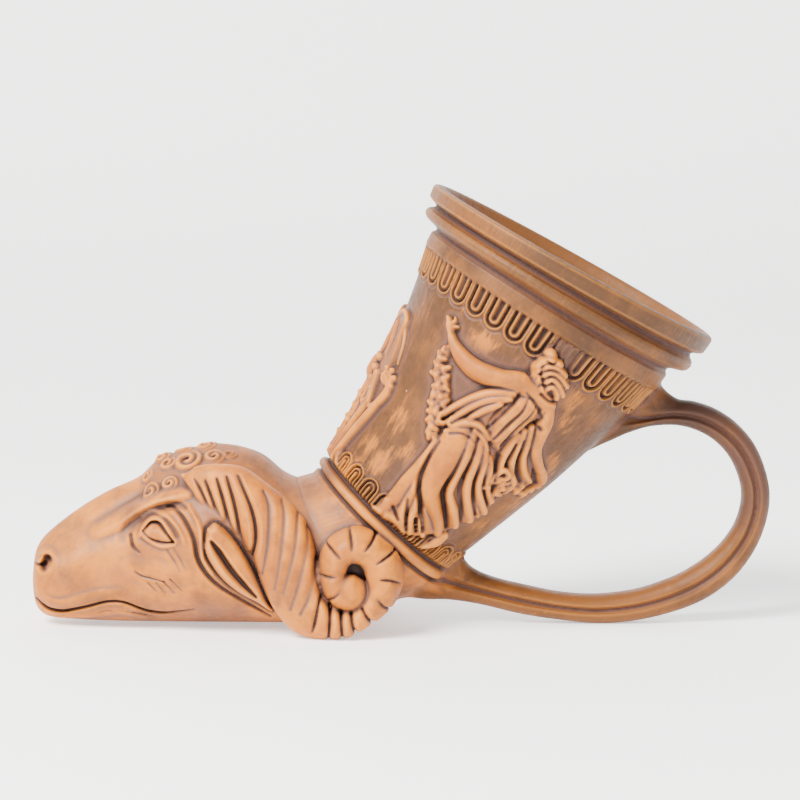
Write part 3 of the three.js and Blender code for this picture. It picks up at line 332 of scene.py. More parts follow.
# Dancer on the side of the cup, in the same form
DANCER = [
    ("panel", [
        (97.1, 63.3), (105, 64), (112.3, 62.7), (114.9, 60.4), (112.8, 57.7), (110.5, 54),
        (108.7, 50), (108.5, 45.4), (108.3, 41.6), (103.3, 41.7), (97.7, 43.3), (91.9, 44.3),
        (85.6, 42.8), (80.1, 41.6), (83.4, 46.7), (86.3, 51.7), (89.9, 56.6), (93.3, 60.2),
    ], [3.4], [2.6]),
    ("panel", [
        (84.5, 42.3), (91.6, 44.5), (98.9, 43.3), (107.7, 41.6), (113.8, 35.9), (119.4, 31.5),
        (131.2, 28.2), (133.8, 23.8), (130.5, 20.3), (127.3, 16.7), (123.3, 12.5), (117.2, 8.1),
        (109.4, 4.2), (102.1, 3.1), (94.6, 3.2), (85.5, 1.1), (74.8, 2), (78.1, 6.1), (78.4, 11.4),
        (78.6, 17.5), (79.5, 24), (77, 29.8), (78.1, 35.1),
    ], [1.4], [1.4]),
    ("panel", [
        (108.7, 50), (110.5, 54), (112.7, 56.6), (116.3, 55.5), (119.9, 51.6), (125.6, 47.2),
        (134.4, 42.3), (141.4, 39), (137.8, 35.6), (130, 33.5), (121.9, 33), (114.7, 35.2),
        (107.9, 41.7),
    ], [1.2], [1.1]),
    ("round", [
        (104.1, 61.5), (102.6, 57.2), (101.3, 51.3), (101.6, 45.6),
    ], [3.4, 5, 5, 3], [4.2, 4.8, 4.6, 3.4]),
    ("round", [
        (78.5, 32.4), (80.3, 24.4), (81.2, 16.3), (82.3, 9.7), (81.4, 5.3),
    ], [1, 1.9, 2.6, 2.8, 1.4], [2, 2.6, 3, 2.8, 1.6]),
    ("round", [
        (80.7, 27), (84.5, 20.4), (88, 13.2), (91.5, 7.7), (97.8, 3.9),
    ], [0.9, 1.4, 1.9, 1.9, 1.2], [2.2, 2.8, 3.2, 2.8, 1.8]),
    ("round", [(81.1, 7.1), (81.1, 3.3), (75.7, 2)], [2.2, 1.8, 0.9], [2.6, 2.4, 1.4]),
    ("round", [(85.7, 3.7), (92.1, 4.3), (101.8, 3.4)], [1.8, 1.6, 1], [2.4, 2.2, 1.4]),
    ("round", [
        (89.6, 16.7), (94.6, 11.9), (99.2, 7.3), (105.2, 4),
    ], [1, 1.5, 1.5, 1], [2.4, 2.8, 2.4, 1.6]),
    ("round", [(99.8, 12.8), (105.1, 9.3), (112.9, 6.2)], [0.9, 1.3, 1], [2.2, 2.6, 1.8]),
    ("round", [
        (86, 41.1), (87.3, 35.9), (88.5, 29.6), (91, 23.2), (95.3, 18.4), (103.4, 15.4),
        (112.3, 12.9), (119.5, 9.9),
    ], [3.4, 5, 5, 4, 3, 2.4, 2, 1.5], [3.4, 4.6, 5, 4.8, 4.2, 3.4, 3, 2.2]),
    ("round", [(123.7, 10.3), (123.8, 7.1), (119.8, 3.5)], [1.9, 1.8, 1], [2.6, 2.4, 1.4]),
    ("round", [
        (91.7, 41.9), (95.6, 35.2), (99.1, 28.2), (104, 22.4), (113.3, 18.8), (124, 15.1),
    ], [1.6, 2.6, 1.9, 1.4, 1.8, 1.3], [3.4, 4.2, 3.6, 3, 3.4, 2.4]),
    ("round", [
        (96.4, 41.8), (101.8, 36), (106.8, 28.9), (115, 23.9), (127.9, 19.4),
    ], [1.2, 2.2, 1.7, 1.5, 1.6], [3.2, 3.8, 3.2, 3.2, 2.6]),
    ("round", [
        (100.6, 40.7), (107.7, 35.5), (113.3, 29.5), (123, 26), (131.8, 23.9),
    ], [1.1, 2, 1.4, 1.5, 1.3], [3, 3.4, 3, 3, 2.2]),
    ("round", [
        (106.1, 39.1), (112.2, 35.3), (117.5, 30.7), (128.6, 28),
    ], [1, 1.4, 1.2, 1.4], [2.6, 2.8, 2.4, 2]),
    ("round", [(103.8, 28.1), (111.5, 22.6), (125.8, 17.3)], [0.6, 0.8, 0.8], [2.2, 2.4, 1.8]),
    ("round", [(112.4, 28.6), (121.3, 24.3), (130.9, 21.6)], [0.5, 0.8, 0.7], [2, 2.4, 1.8]),
    ("round", [
        (81.4, 39.5), (85.4, 43.2), (91.4, 44.9), (98.7, 43.6),
    ], [1.3, 1.9, 1.7, 1.3], [3.8, 4.6, 4.4, 3.4]),
    ("round", [(80.2, 36.8), (83.7, 39.8), (88.1, 41.6)], [1.2, 1.6, 1.3], [3.2, 3.8, 3.4]),
    ("round", [(90.7, 42.9), (96.5, 42.5), (102.2, 40.3)], [1, 1.3, 0.9], [4, 4, 3]),
    ("round", [
        (109.3, 49.6), (110.9, 44.3), (113.4, 39.8), (117.2, 36.2),
    ], [1.6, 1.9, 1.5, 1.2], [3, 3.2, 2.8, 2.2]),
    ("round", [
        (110.2, 52), (113.7, 46.9), (117.4, 41.9), (123.6, 38),
    ], [1.3, 1.8, 1.6, 1.2], [3, 3.2, 2.8, 2.2]),
    ("round", [
        (111.6, 54.3), (116.6, 49.1), (121.3, 44.5), (129.4, 41.2), (138.2, 39.7),
    ], [1.3, 1.5, 1.4, 1.3, 1], [3, 2.8, 2.6, 2.4, 1.8]),
    ("round", [
        (116.5, 37.1), (117.2, 38.4), (120.7, 38.3), (122.4, 36.7), (120.5, 35.7),
    ], [1.2, 1.3, 1.3, 1.2, 1], [3, 3.4, 3.4, 3, 2.4]),
    ("round", [(124.1, 38.2), (129.2, 36.6), (130.5, 34.6)], [1.3, 1.3, 1], [2.6, 2.4, 1.8]),
    ("round", [
        (94.2, 59.6), (86.4, 55.5), (80.8, 50.6), (75.9, 44.6), (72.1, 39.1),
    ], [1.9, 1.9, 1.7, 1.5, 1.1], [3.8, 3.8, 3.4, 3, 2]),
    ("round", [
        (94.2, 57.5), (87.5, 53.4), (82.9, 48.4), (80, 43.4), (78.3, 39.4),
    ], [1.8, 1.8, 1.6, 1.5, 1.1], [4.2, 4.2, 3.8, 3.4, 2.6]),
    ("round", [
        (92.4, 54.4), (88.4, 49.9), (85.9, 45.7), (84, 42.2),
    ], [1.7, 1.7, 1.4, 1], [4.4, 4.2, 3.8, 3]),
    ("round", [
        (78.1, 41.6), (78.5, 39.5), (81.4, 39.5), (82.5, 41.3),
    ], [0.9, 1, 1, 0.7], [3, 3.4, 3.4, 2.6]),
    ("round", [
        (72.4, 40.6), (73.3, 38.2), (76.4, 38.5), (76.9, 40.3),
    ], [0.9, 1, 0.9, 0.6], [2.6, 3, 2.8, 2]),
    ("round", [
        (100.6, 63.2), (94.3, 63.3), (86.6, 61.2), (79.5, 59.4), (72.3, 58.6), (64.7, 59.3),
        (58.5, 61.1), (54.4, 63.4), (52.2, 65.5),
    ], [3.2, 3.9, 3.2, 3.5, 3.4, 2.9, 2.1, 1.4, 2], [4.6, 5, 4.6, 4.4, 4, 3.4, 3, 2.8, 3]),
    ("round", [(52.2, 65.5), (50.3, 66.6), (47.9, 67.3)], [1.8, 1.3, 0.7], [3, 2.4, 1.2]),
    ("round", [(52.9, 66), (53.3, 67.5), (52, 68.7)], [0.9, 0.8, 0.5], [2.4, 2, 1.2]),
    ("round", [(54.2, 65.6), (56, 66.6)], [0.9, 0.6], [2.4, 1.6]),
    ("round", [
        (111.2, 61.7), (115.3, 57.7), (118.7, 53.2), (122.7, 49.2), (130.5, 46), (139.3, 43.9),
    ], [2.6, 2.8, 2.4, 2.1, 1.8, 1.5], [4.6, 4.6, 4, 3.4, 3, 2.8]),
    ("round", [(139.3, 43.9), (145.1, 42), (147.3, 39.7)], [1.8, 1.6, 1], [3, 2.6, 1.8]),
    ("round", [(96.8, 63.5), (103.9, 63.5), (110.6, 62.4)], [3.6, 3.4, 2.8], [4.8, 5, 4.6]),
    ("round", [(103.9, 63.1), (103.2, 65.6)], [2.3, 2.4], [4.8, 4.8]),
    ("round", [(97.2, 70.8), (99.4, 67.9)], [3, 2.7], [4.6, 4.4]),
    ("round", [(96.2, 68.9), (96.6, 67.5)], [1.3, 1], [3.8, 3.2]),
    ("round", [(99.8, 66.2), (99.9, 65.6)], [1.4, 1.2], [4, 3.6]),
    ("round", [(100.8, 71.5), (106.5, 69.2)], [5, 4.6], [4.6, 4.4]),
    ("round", [(97.1, 76.1), (98.4, 75.2)], [2.1, 2.2], [4.8, 5]),
    ("round", [
        (95.5, 71), (96.1, 73.3), (98.5, 74.8), (102.4, 75.1),
    ], [1.3, 1.5, 1.6, 1.4], [5, 5.8, 6, 5.4]),
    ("round", [
        (96.7, 70), (98.4, 72.6), (102.1, 73.8), (106.9, 73.1),
    ], [1.1, 1.4, 1.5, 1.3], [5.2, 6, 6, 5]),
    ("round", [
        (99.3, 69.2), (100.8, 71.5), (104.6, 72), (110.2, 70.5),
    ], [1, 1.4, 1.5, 1.4], [5.4, 6, 6, 5.2]),
    ("round", [
        (101.9, 67.9), (103.1, 70.1), (106.9, 69.6), (111.5, 67.6),
    ], [1, 1.4, 1.5, 1.3], [5.4, 6, 6, 5.2]),
    ("round", [
        (104.2, 66.5), (105.2, 68.2), (108.5, 67.3), (110.9, 65.5),
    ], [1, 1.4, 1.4, 1], [5.2, 5.8, 5.6, 4.6]),
    ("cut", [
        (96.8, 71.8), (98, 69.8), (101.4, 67.8), (104, 66.2),
    ], [0.7, 0.8, 0.8, 0.6], [0.9, 1.2, 1.2, 0.8]),
    ("cut", [(96.9, 74.1), (99.2, 74.2), (100.2, 75.5)], [0.6], [1.2]),
    ("cut", [(97.8, 68.1), (98, 67.2)], [0.5], [0.8]),
    ("cut", [(97.3, 68.9), (98.1, 69.4)], [0.5], [0.9]),
    ("cut", [(103.2, 64.4), (108.4, 63.9), (111.4, 64.9)], [0.7], [1.2]),
    ("cut", [
        (98.2, 62.2), (102.7, 61.3), (107.5, 60), (112, 58.3),
    ], [0.6, 0.8, 0.8, 0.5], [0.8, 1.1, 1.1, 0.6]),
    ("cut", [
        (95.9, 61.2), (97, 58.1), (96.3, 52.6), (95.3, 46.2),
    ], [0.5, 0.8, 0.9, 0.6], [0.5, 1.1, 1.3, 0.9]),
    ("cut", [
        (100.8, 61), (102, 56.4), (101.1, 50.7), (101, 44.3),
    ], [0.5, 0.8, 1, 0.7], [0.5, 1.1, 1.4, 1]),
    ("cut", [
        (105.8, 60.2), (106.5, 56), (105.7, 50.6), (106.6, 43.7),
    ], [0.5, 0.8, 0.9, 0.7], [0.6, 1.2, 1.4, 1]),
    ("cut", [(110.5, 60.3), (111.9, 57.2), (109.7, 54.3)], [0.6, 0.7, 0.5], [0.8, 1, 0.6]),
    ("cut", [
        (95.6, 57), (93.8, 53.6), (93.3, 49.9), (94.8, 45.5),
    ], [0.5, 0.7, 0.7, 0.5], [0.6, 0.9, 0.9, 0.6]),
    ("cut", [(114.1, 55.6), (115.3, 55.1)], [0.9], [1.4]),
    ("cut", [
        (80.7, 33.2), (82.3, 25.4), (86.8, 18.2), (98.8, 12.3), (110.5, 7.3),
    ], [0.8, 1.1, 1.3, 1.4, 1], [0.8, 1.4, 2, 2.4, 1.8]),
    ("cut", [
        (93.3, 36.3), (97.3, 28.4), (100.5, 21.5), (109.7, 17.3), (120.6, 13.1),
    ], [0.5, 0.9, 1.1, 1.2, 1], [0.4, 1.1, 1.7, 2, 1.6]),
    ("cut", [
        (96.9, 38), (102, 30.7), (107.6, 24.7), (117.2, 20.4), (126.2, 16.8),
    ], [0.5, 0.7, 1, 1, 0.7], [0.4, 0.9, 1.5, 1.6, 1.2]),
    ("cut", [
        (101.8, 38.2), (107.8, 31.5), (115.7, 26.4), (127.6, 21.9),
    ], [0.4, 0.7, 0.8, 0.7], [0.4, 0.9, 1.3, 1]),
    ("cut", [
        (107.4, 37.5), (111.9, 32.9), (122.1, 28), (130.3, 26),
    ], [0.4, 0.7, 0.7, 0.6], [0.4, 0.9, 1.1, 0.8]),
    ("cut", [(88.6, 11.9), (94.4, 8), (102.3, 4.1)], [0.8, 1, 0.7], [1, 1.5, 1]),
    ("cut", [(101.1, 8.8), (107.4, 5.9)], [1, 0.9], [1.8, 1.4]),
    ("cut", [(84.7, 6.9), (93.2, 4.9)], [0.8, 0.7], [1, 0.8]),
    ("cut", [(110.1, 41.2), (114.7, 36.3), (119.1, 32.5)], [1, 1.1, 0.8], [1.4, 1.6, 1]),
    ("cut", [(111.5, 47), (114.1, 41.6), (116.7, 39.4)], [0.7, 0.8, 0.5], [0.9, 1.1, 0.7]),
    ("cut", [
        (113.4, 49.3), (118.8, 43.5), (126.3, 39.7), (133.7, 38),
    ], [0.7, 1, 1.1, 0.8], [0.8, 1.3, 1.5, 1]),
    ("cut", [(82.2, 37.1), (87.6, 39.8), (94.8, 40)], [0.6, 0.7, 0.5], [0.7, 0.9, 0.6]),
]

# Leaves of the two garlands: angle, along, half width, rise
GARLANDS = [
    (55, 57.1, 1.3, 1.8), (55.8, 54.5, 1.6, 2.2), (56.9, 52, 1.7, 2.2), (60.2, 52.3, 1.5, 2),
    (58.7, 49.3, 1.6, 2.2), (63.3, 49.7, 1.6, 2.2), (62.6, 46.7, 1.7, 2.2), (66.1, 47.8, 1.4, 2),
    (63.4, 43.5, 1.6, 2.2), (67, 44.4, 1.8, 2.4), (65.6, 40.9, 1.6, 2.2), (70.1, 43.1, 1.5, 2),
    (69.3, 39.6, 1.8, 2.4), (69.2, 37, 1.6, 2), (73.4, 37.5, 1.5, 2), (72.3, 34.9, 1.6, 2.2),
    (73.6, 32.6, 1.4, 2), (76.9, 32.6, 1.1, 1.6), (56.3, 59.1, 1, 1.4), (116.1, 33.3, 1.5, 2.2),
    (118.1, 31, 1.5, 2.2), (125.8, 30.9, 1.6, 2), (126.7, 33.3, 1.3, 2.2), (130.2, 34.7, 1.5, 2),
    (135.9, 35.3, 1.4, 2), (143.2, 35.7, 1.5, 1.8), (144.3, 38, 1.4, 2), (146.4, 39.8, 1.4, 2),
    (136.2, 37.2, 1.2, 1.8), (123.7, 34.8, 1.6, 2), (120.6, 34.8, 1.3, 2), (126.3, 35.8, 1.2, 1.8),
]

# Patches on the cup where smoke has darkened it and where it is rubbed bare: angle, along, reach
SMOKED = [
    (44.6, 66.8, 12), (58.3, 68.8, 9), (37.9, 58.6, 8), (79.4, 67.4, 6), (92, 76.7, 5),
    (107.5, 80.4, 6), (37.5, 44.8, 7), (141.7, 75.6, 8), (160.3, 61.5, 9), (12, 66, 10),
    (30, 72, 8),
]
BARED = [
    (68.4, 66.8, 4.6), (64, 63, 3.6), (42.8, 16.1, 6), (43.9, 6.8, 6), (51.3, 29.9, 7),
    (126, 60.3, 7), (143.4, 20.4, 6), (149.8, 29.8, 6), (71.6, 23.4, 6), (140.1, 45, 6),
    (60, 14, 6), (120, 66, 5),
]

# Patches of the head and neck darkened as painted shade, in the side view: along, up, reach
SHADED = [
    (27, 45, 4.5), (33, 39, 3.4), (12, 18, 4), (40, 7, 6), (60, 6, 7), (70, 3, 8), (34.6, 27, 3),
    (52, 24, 3), (92, 44, 5), (97, 38, 4), (86, 47, 6), (92, 30, 3), (84, 12, 4), (119, 10, 5),
    (47, 18, 3.6), (22, 28, 3), (14, 34, 3), (100, 40, 4),
]


# Distance that stands for empty space
EMPTY = 9.0


class Space:
    """Regular cells over the vessel, and the solid as distances to its skin, negative inside."""

    def __init__(self, step):
        low = np.array(SPACE_LOW)
        counts = np.ceil((np.array(SPACE_HIGH) - low) / step).astype(int) + 1
        self.step = step
        self.low = low
        self.counts = counts
        self.x, self.y, self.z = (
            low[i] + step * np.arange(counts[i], dtype=np.float32) for i in range(3)
        )
        self.field = np.full(counts, EMPTY, dtype=np.float32)

    def window(self, low, high):
        """Slices of the cells between two corners."""
        first = np.maximum(np.floor((np.array(low) - self.low) / self.step).astype(int), 0)
        last = np.minimum(np.ceil((np.array(high) - self.low) / self.step).astype(int) + 1, self.counts)
        return tuple(slice(int(a), int(b)) for a, b in zip(first, last))

    def distances(self, points, faces, reach):
        """Distances to a closed skin of quads and triangles, and the window they fill."""
        quads, triangles = faces
        points = np.asarray(points, dtype=np.float64)
        where = self.window(points.min(axis=0) - reach, points.max(axis=0) + reach)
        cells = vdb.FloatGrid.createLevelSetFromPolygons(
            points - self.low,
            triangles=triangles,
            quads=quads,
            transform=vdb.createLinearTransform(voxelSize=self.step),
            halfWidth=reach / self.step,
        )
        found = np.empty([part.stop - part.start for part in where], dtype=np.float32)
        cells.copyToArray(found, ijk=tuple(part.start for part in where))
        return found, where

    def join(self, found, where, softness):
        """Adds a solid, with its meeting line rounded by the softness."""
        self.field[where] = soft_least(self.field[where], found, softness)

    def cut(self, found, where, softness):
        """Takes a solid away, with its edge rounded by the softness."""
        self.field[where] = -soft_least(-self.field[where], found, softness)


def soft_least(a, b, softness):
    """The lesser of two fields, blended where they are within the softness."""
    share = np.clip(0.5 + 0.5 * (b - a) / softness, 0.0, 1.0)
    return b + (a - b) * share - softness * share * (1.0 - share)


def smooth_rows(rows, share):
    """Smooth values through rows of numbers, share 0 at the first row and 1 at the last."""
    rows = np.asarray(rows, dtype=float)
    place = np.clip(share, 0.0, 1.0) * (len(rows) - 1)
    i = np.minimum(np.floor(place).astype(int), len(rows) - 2)
    t = (place - i)[:, None]
    before = rows[np.maximum(i - 1, 0)]
    start = rows[i]
    end = rows[i + 1]
    after = rows[np.minimum(i + 2, len(rows) - 1)]
    slope_in = (end - before) / 2
    slope_out = (after - start) / 2
    rest = end - start
    square = 3 * rest - 2 * slope_in - slope_out
    cube = slope_in + slope_out - 2 * rest
    return start + t * (slope_in + t * (square + t * cube))


# Steps from point to point of a drawn path
PATH_STEPS = 6


def path_steps(path, halves, rises):
    """Points close together along a smooth path, with their half widths and rises."""
    share = np.linspace(0, 1, PATH_STEPS * (len(path) - 1) + 1)
    points = smooth_rows(path, share) if len(path) > 1 else np.asarray(path, dtype=float)
    half = np.interp(share, np.linspace(0, 1, len(halves)), halves)
    rise = np.interp(share, np.linspace(0, 1, len(rises)), rises)
    return points, half, rise


def blend(value, low, high):
    """Smooth step from 0 at low to 1 at high."""
    t = np.clip((value - low) / (high - low), 0.0, 1.0)
    return t * t * (3 - 2 * t)


def skin_of(sections):
    """Points and faces of the closed skin through a stack of sections."""
    sections = np.asarray(sections)
    rows, columns = sections.shape[:2]
    i = (np.arange(rows - 1) * columns)[:, None]
    j = np.arange(columns)
    k = (j + 1) % columns
    quads = np.stack([i + j, i + k, i + columns + k, i + columns + j], axis=-1).reshape(-1, 4)
    first = rows * columns
    last = first + 1
    top = (rows - 1) * columns
    triangles = np.concatenate([
        np.stack([np.full(columns, first), k, j], axis=-1),
        np.stack([np.full(columns, last), top + j, top + k], axis=-1),
    ])
    points = np.concatenate([sections.reshape(-1, 3), sections[[0, -1]].mean(axis=1)])
    return points, (quads.astype(np.uint32), triangles.astype(np.uint32))


# Cup

BEND = math.radians(MOUTH_SLOPE - NECK_SLOPE)


def cup_line(s, along):
    """Point and slope of the cup's middle line."""
    rate = BEND / s.cup_length
    start = math.radians(NECK_SLOPE)
    slope = start + rate * along
    x = NECK_X + (np.sin(slope) - math.sin(start)) / rate
    z = NECK_Z - (np.cos(slope) - math.cos(start)) / rate
    return x, z, slope


def cup_place(s, x, z):
    """Distance along the cup's middle line and height over it, of places in the side view."""
    rate = BEND / s.cup_length
    start = math.radians(NECK_SLOPE)
    centre_x = NECK_X - math.sin(start) / rate
    centre_z = NECK_Z + math.cos(start) / rate
    slope = np.arctan2(x - centre_x, centre_z - z)
    return (slope - start) / rate, 1.0 / rate - np.hypot(x - centre_x, z - centre_z)


def ring(s, along, radius, sides):
    """Points around the cup's middle line."""
    x, z, slope = cup_line(s, along)
    turn = 2 * np.pi * np.arange(sides) / sides
    up = radius * np.cos(turn)
    return np.stack([x - up * np.sin(slope), -radius * np.sin(turn), z + up * np.cos(slope)], axis=-1)


def wall_radius(along):
    """Radius of the cup's plain wall."""
    return profile_at(WALL_PROFILE, along)


def profile_at(profile, along):
    """Second numbers of a table, by its first."""
    return np.interp(along, [row[0] for row in profile], [row[1] for row in profile])


# Least millimetres in a degree round the cup
LEAST_SCALE = 0.45

# Lobes of a garland's leaf: turn, reach. The leaves are drawn a little larger, each turned on.
LEAF_LOBES = [(0.0, 1.2), (1.9, 0.9), (-1.9, 0.9)]
LEAF_WIDER = 1.25
LEAF_HIGHER = 1.15
LEAF_TURN = 2.4


class Chart:
    """Heights of the ornament over the cup's wall, by angle from its upper side and distance along."""

    def __init__(self, s):
        self.fine_angle = 0.25
        self.fine_along = 0.2
        self.angle = np.arange(0.0, 360.0, self.fine_angle)
        self.along = np.arange(CUP_START, s.cup_length, self.fine_along)
        self.scale = (wall_radius(self.along) * math.pi / 180)[:, None]
        self.height = np.zeros((len(self.along), len(self.angle)))

    def window(self, points, reach):
        """Rows and columns around some places."""
        low = points.min(axis=0)
        high = points.max(axis=0)
        rows = np.array([low[1] - reach - CUP_START, high[1] + reach - CUP_START]) / self.fine_along
        rows = np.clip(rows, 0, len(self.along) - 1).astype(int)
        spread = reach / LEAST_SCALE
        first = math.floor((low[0] - spread) / self.fine_angle)
        last = math.ceil((high[0] + spread) / self.fine_angle)
        return slice(rows[0], rows[1] + 1), np.arange(first, last)

    def stroke(self, path, halves, rises, crest):
        """Heights of one stroke over its window."""
        points, half, rise = path_steps(path, halves, rises)
        rows, columns = self.window(points, max(halves) + 0.5)
        scale = self.scale[rows]
        angle = (columns * self.fine_angle)[None, :]
        along = self.along[rows][:, None]
        best = np.zeros((along.shape[0], angle.shape[1]))
        if len(points) == 1:
            far = np.hypot((angle - points[0, 0]) * scale, along - points[0, 1])
            return crest(far / half[0]) * rise[0], rows, columns
        for i in range(len(points) - 1):
            dx = (points[i + 1, 0] - points[i, 0]) * scale
            dy = points[i + 1, 1] - points[i, 1]
            px = (angle - points[i, 0]) * scale
            py = along - points[i, 1]
            t = np.clip((px * dx + py * dy) / (dx * dx + dy * dy + 1e-9), 0, 1)
            far = np.hypot(px - t * dx, py - t * dy) / (half[i] + t * (half[i + 1] - half[i]))
            best = np.maximum(best, crest(far) * (rise[i] + t * (rise[i + 1] - rise[i])))
        return best, rows, columns

    def panel(self, outline, soft, rise):
        """Heights of a flat panel with rounded edges, over its window."""
        outline = np.asarray(outline, dtype=float)
        rows, columns = self.window(outline, 1.0)
        scale = self.scale[rows]
        angle = (columns * self.fine_angle)[None, :]
        along = self.along[rows][:, None]
        inside, far = outline_distance(outline, angle, along, scale)
        edge = np.clip(far / soft, 0, 1)
        return np.where(inside, rise * np.sqrt(1 - (1 - edge) ** 2), 0.0), rows, columns

    def put(self, kind, found, rows, columns):
        """Lays heights on the chart, or cuts them into it."""
        columns = columns % len(self.angle)
        here = self.height[rows][:, columns]
        if kind == "cut":
            here = here - found
        else:
            here = np.maximum(here, found)
        block = self.height[rows]
        block[:, columns] = here
        self.height[rows] = block

    def draw(self, strokes, mirror):
        """Draws a figure's strokes, or their mirror image."""
        for kind, path, halves, rises in strokes:
            path = [(-a if mirror else a, b) for a, b in path]
            if kind == "panel":
                found, rows, columns = self.panel(path, halves[0], rises[0])
            else:
                found, rows, columns = self.stroke(path, halves, rises, CRESTS[kind])
            self.put(kind, found, rows, columns)

    def leaf(self, place, half, rise, turn):
        """One pointed leaf of a garland, of three lobes."""
        angle, along = place
        scale = wall_radius(along) * math.pi / 180
        halves = [half * 0.78, half * 0.5]
        rises = [rise, rise * 0.6]
        for lobe, reach in LEAF_LOBES:
            way = turn + lobe
            tip = (angle + reach * half * math.cos(way) / scale, along + reach * half * math.sin(way))
            found, rows, columns = self.stroke([place, tip], halves, rises, round_crest)
            self.put("bump", found, rows, columns)

    def sample(self, angle, along):
        """Heights at given places."""
        a = np.mod(angle, 360.0) / self.fine_angle
        b = np.clip((along - CUP_START) / self.fine_along, 0, len(self.along) - 1.001)
        i = b.astype(int)
        j = a.astype(int) % len(self.angle)
        k = (j + 1) % len(self.angle)
        u = a - np.floor(a)
        v = b - i
        top = self.height[i, j] * (1 - u) + self.height[i, k] * u
        low = self.height[i + 1, j] * (1 - u) + self.height[i + 1, k] * u
        return top * (1 - v) + low * v


def round_crest(q):
    """Full round ridge."""
    return np.sqrt(np.clip(1 - q * q, 0, 1))


def soft_crest(q):
    """Ridge that flows out into its ground."""
    return np.clip(1 - q * q, 0, 1) ** 2


CRESTS = {"round": round_crest, "bump": round_crest, "cut": soft_crest}


def outline_distance(outline, a, b, scale):
    """Which places lie within a closed outline, and how far they are from it."""
    inside = np.zeros(np.broadcast(a, b).shape, dtype=bool)
    far = np.full(inside.shape, 1e9)
    for (a0, b0), (a1, b1) in zip(outline, np.roll(outline, -1, axis=0)):
        dx = (a1 - a0) * scale
        dy = b1 - b0
        px = (a - a0) * scale
        py = b - b0
        t = np.clip((px * dx + py * dy) / (dx * dx + dy * dy + 1e-9), 0, 1)
        far = np.minimum(far, np.hypot(px - t * dx, py - t * dy))
        if b1 != b0:
            crossing = a0 + (b - b0) * (a1 - a0) / (b1 - b0)
            inside ^= ((b0 > b) != (b1 > b)) & (a < crossing)
    return inside, far


def arch(across, up, half, length):
    """How far into a round-ended tongue a place is: 0 at its edge, in millimetres."""
    straight = length - half
    beyond = np.maximum(up - straight, 0)
    return half - np.hypot(across, beyond)


# Lines within a tongue and a bud: how deep in from the edge, half width, share of the rise
TONGUE_LINES = [(0.45, 0.65, 1.0), (2.35, 0.8, 1.0), (1.35, 0.75, -1.25)]
TONGUE_OUTSIDE = [(-0.5, 0.6, -0.4)]
TONGUE_SLOT = (2.9, 0.6, 1.1)
BUD_LINES = [
    (-0.3, 0.5, -0.5), (0.5, 0.6, 1.0), (1.2, 0.6, -1.1),
    (1.9, 0.6, 0.9), (2.5, 0.6, -1.0), (3.2, 0.6, 0.9),
]

# Where the tongues and the buds start, and how much of their step round the cup they fill
TONGUE_DROP = 3.0
TONGUE_FILL = 0.98
BUD_START = 2.3
BUD_TURN = 3.0
BUD_FILL = 0.96
START_SLACK = -0.5

# The tongues are worn away above the dancers' heads: angle, reach, share
WORN_ANGLE = 103.0
WORN_REACH = 9.0
WORN_SHARE = 0.85


def nested(into, lines, rise):
    """Heights of the lines nested within an outline."""
    heights = 0.0
    for depth, half, share in lines:
        heights = heights + soft_crest((into - depth) / half) * rise * share
    return heights


def tongue_heights(s, chart):
    """Nested tongues hanging under the mouldings."""
    step = 360.0 / s.tongue_count
    across = (np.mod(chart.angle[None, :], step) - step / 2) * chart.scale
    up = s.cup_length - s.moulding_height - TONGUE_DROP - chart.along[:, None]
    into = arch(across, up, step / 2 * chart.scale * TONGUE_FILL, s.tongue_length)
    depth, half, share = TONGUE_SLOT
    slot = np.clip((into - depth) / half, 0, 1) * s.tongue_rise * share
    outside = nested(into, TONGUE_OUTSIDE, s.tongue_rise)
    heights = nested(into, TONGUE_LINES, s.tongue_rise) - slot + outside
    return np.where(up > START_SLACK, heights, 0.0) * worn(chart)


def worn(chart):
    """How much of the tongues is left: the row is worn away above the dancers' heads."""
    from_top = np.minimum(chart.angle, 360 - chart.angle)[None, :]
    return 1 - WORN_SHARE * np.clip(1 - np.abs(from_top - WORN_ANGLE) / WORN_REACH, 0, 1) ** 0.5


def bud_heights(s, chart):
    """Nested arcs standing on the neck ring, between the figures."""
    step = 360.0 / s.bud_count
    across = (np.mod(chart.angle[None, :] + BUD_TURN, step) - step / 2) * chart.scale
    up = chart.along[:, None] - BUD_START
    into = arch(across, up, step / 2 * chart.scale * BUD_FILL, s.bud_length)
    return np.where(up > START_SLACK, nested(into, BUD_LINES, s.bud_rise), 0.0)


def ornament(s):
    """Chart of all the cup's ornament."""
    chart = Chart(s)
    for mirror in (False, True):
        chart.draw(FRONT_FIGURE, mirror)
        chart.draw(DANCER, mirror)
        for i, (angle, along, half, rise) in enumerate(GARLANDS):
            place = (-angle if mirror else angle, along)
            chart.leaf(place, half * LEAF_WIDER, rise * LEAF_HIGHER, i * LEAF_TURN)
    figures = chart.height
    plain = np.clip(1 - figures / 0.6, 0, 1)
    chart.height = figures + (tongue_heights(s, chart) + bud_heights(s, chart)) * plain
    soften(chart)
    return chart


def soften(chart):
    """Rounds the chart a little, as a moulded surface is."""
    for axis in (0, 1):
        before = np.roll(chart.height, 1, axis)
        after = np.roll(chart.height, -1, axis)
        chart.height = 0.25 * before + 0.5 * chart.height + 0.25 * after


# Cells that the cup may fill: beyond its ends along, from its middle line, under and over its wall
CUP_BEFORE = -9.0
CUP_PAST = 4.0
CUP_FAR = 62.0
CUP_UNDER = -4.0
CUP_OVER = 8.0
CUP_EDGE = 1.2


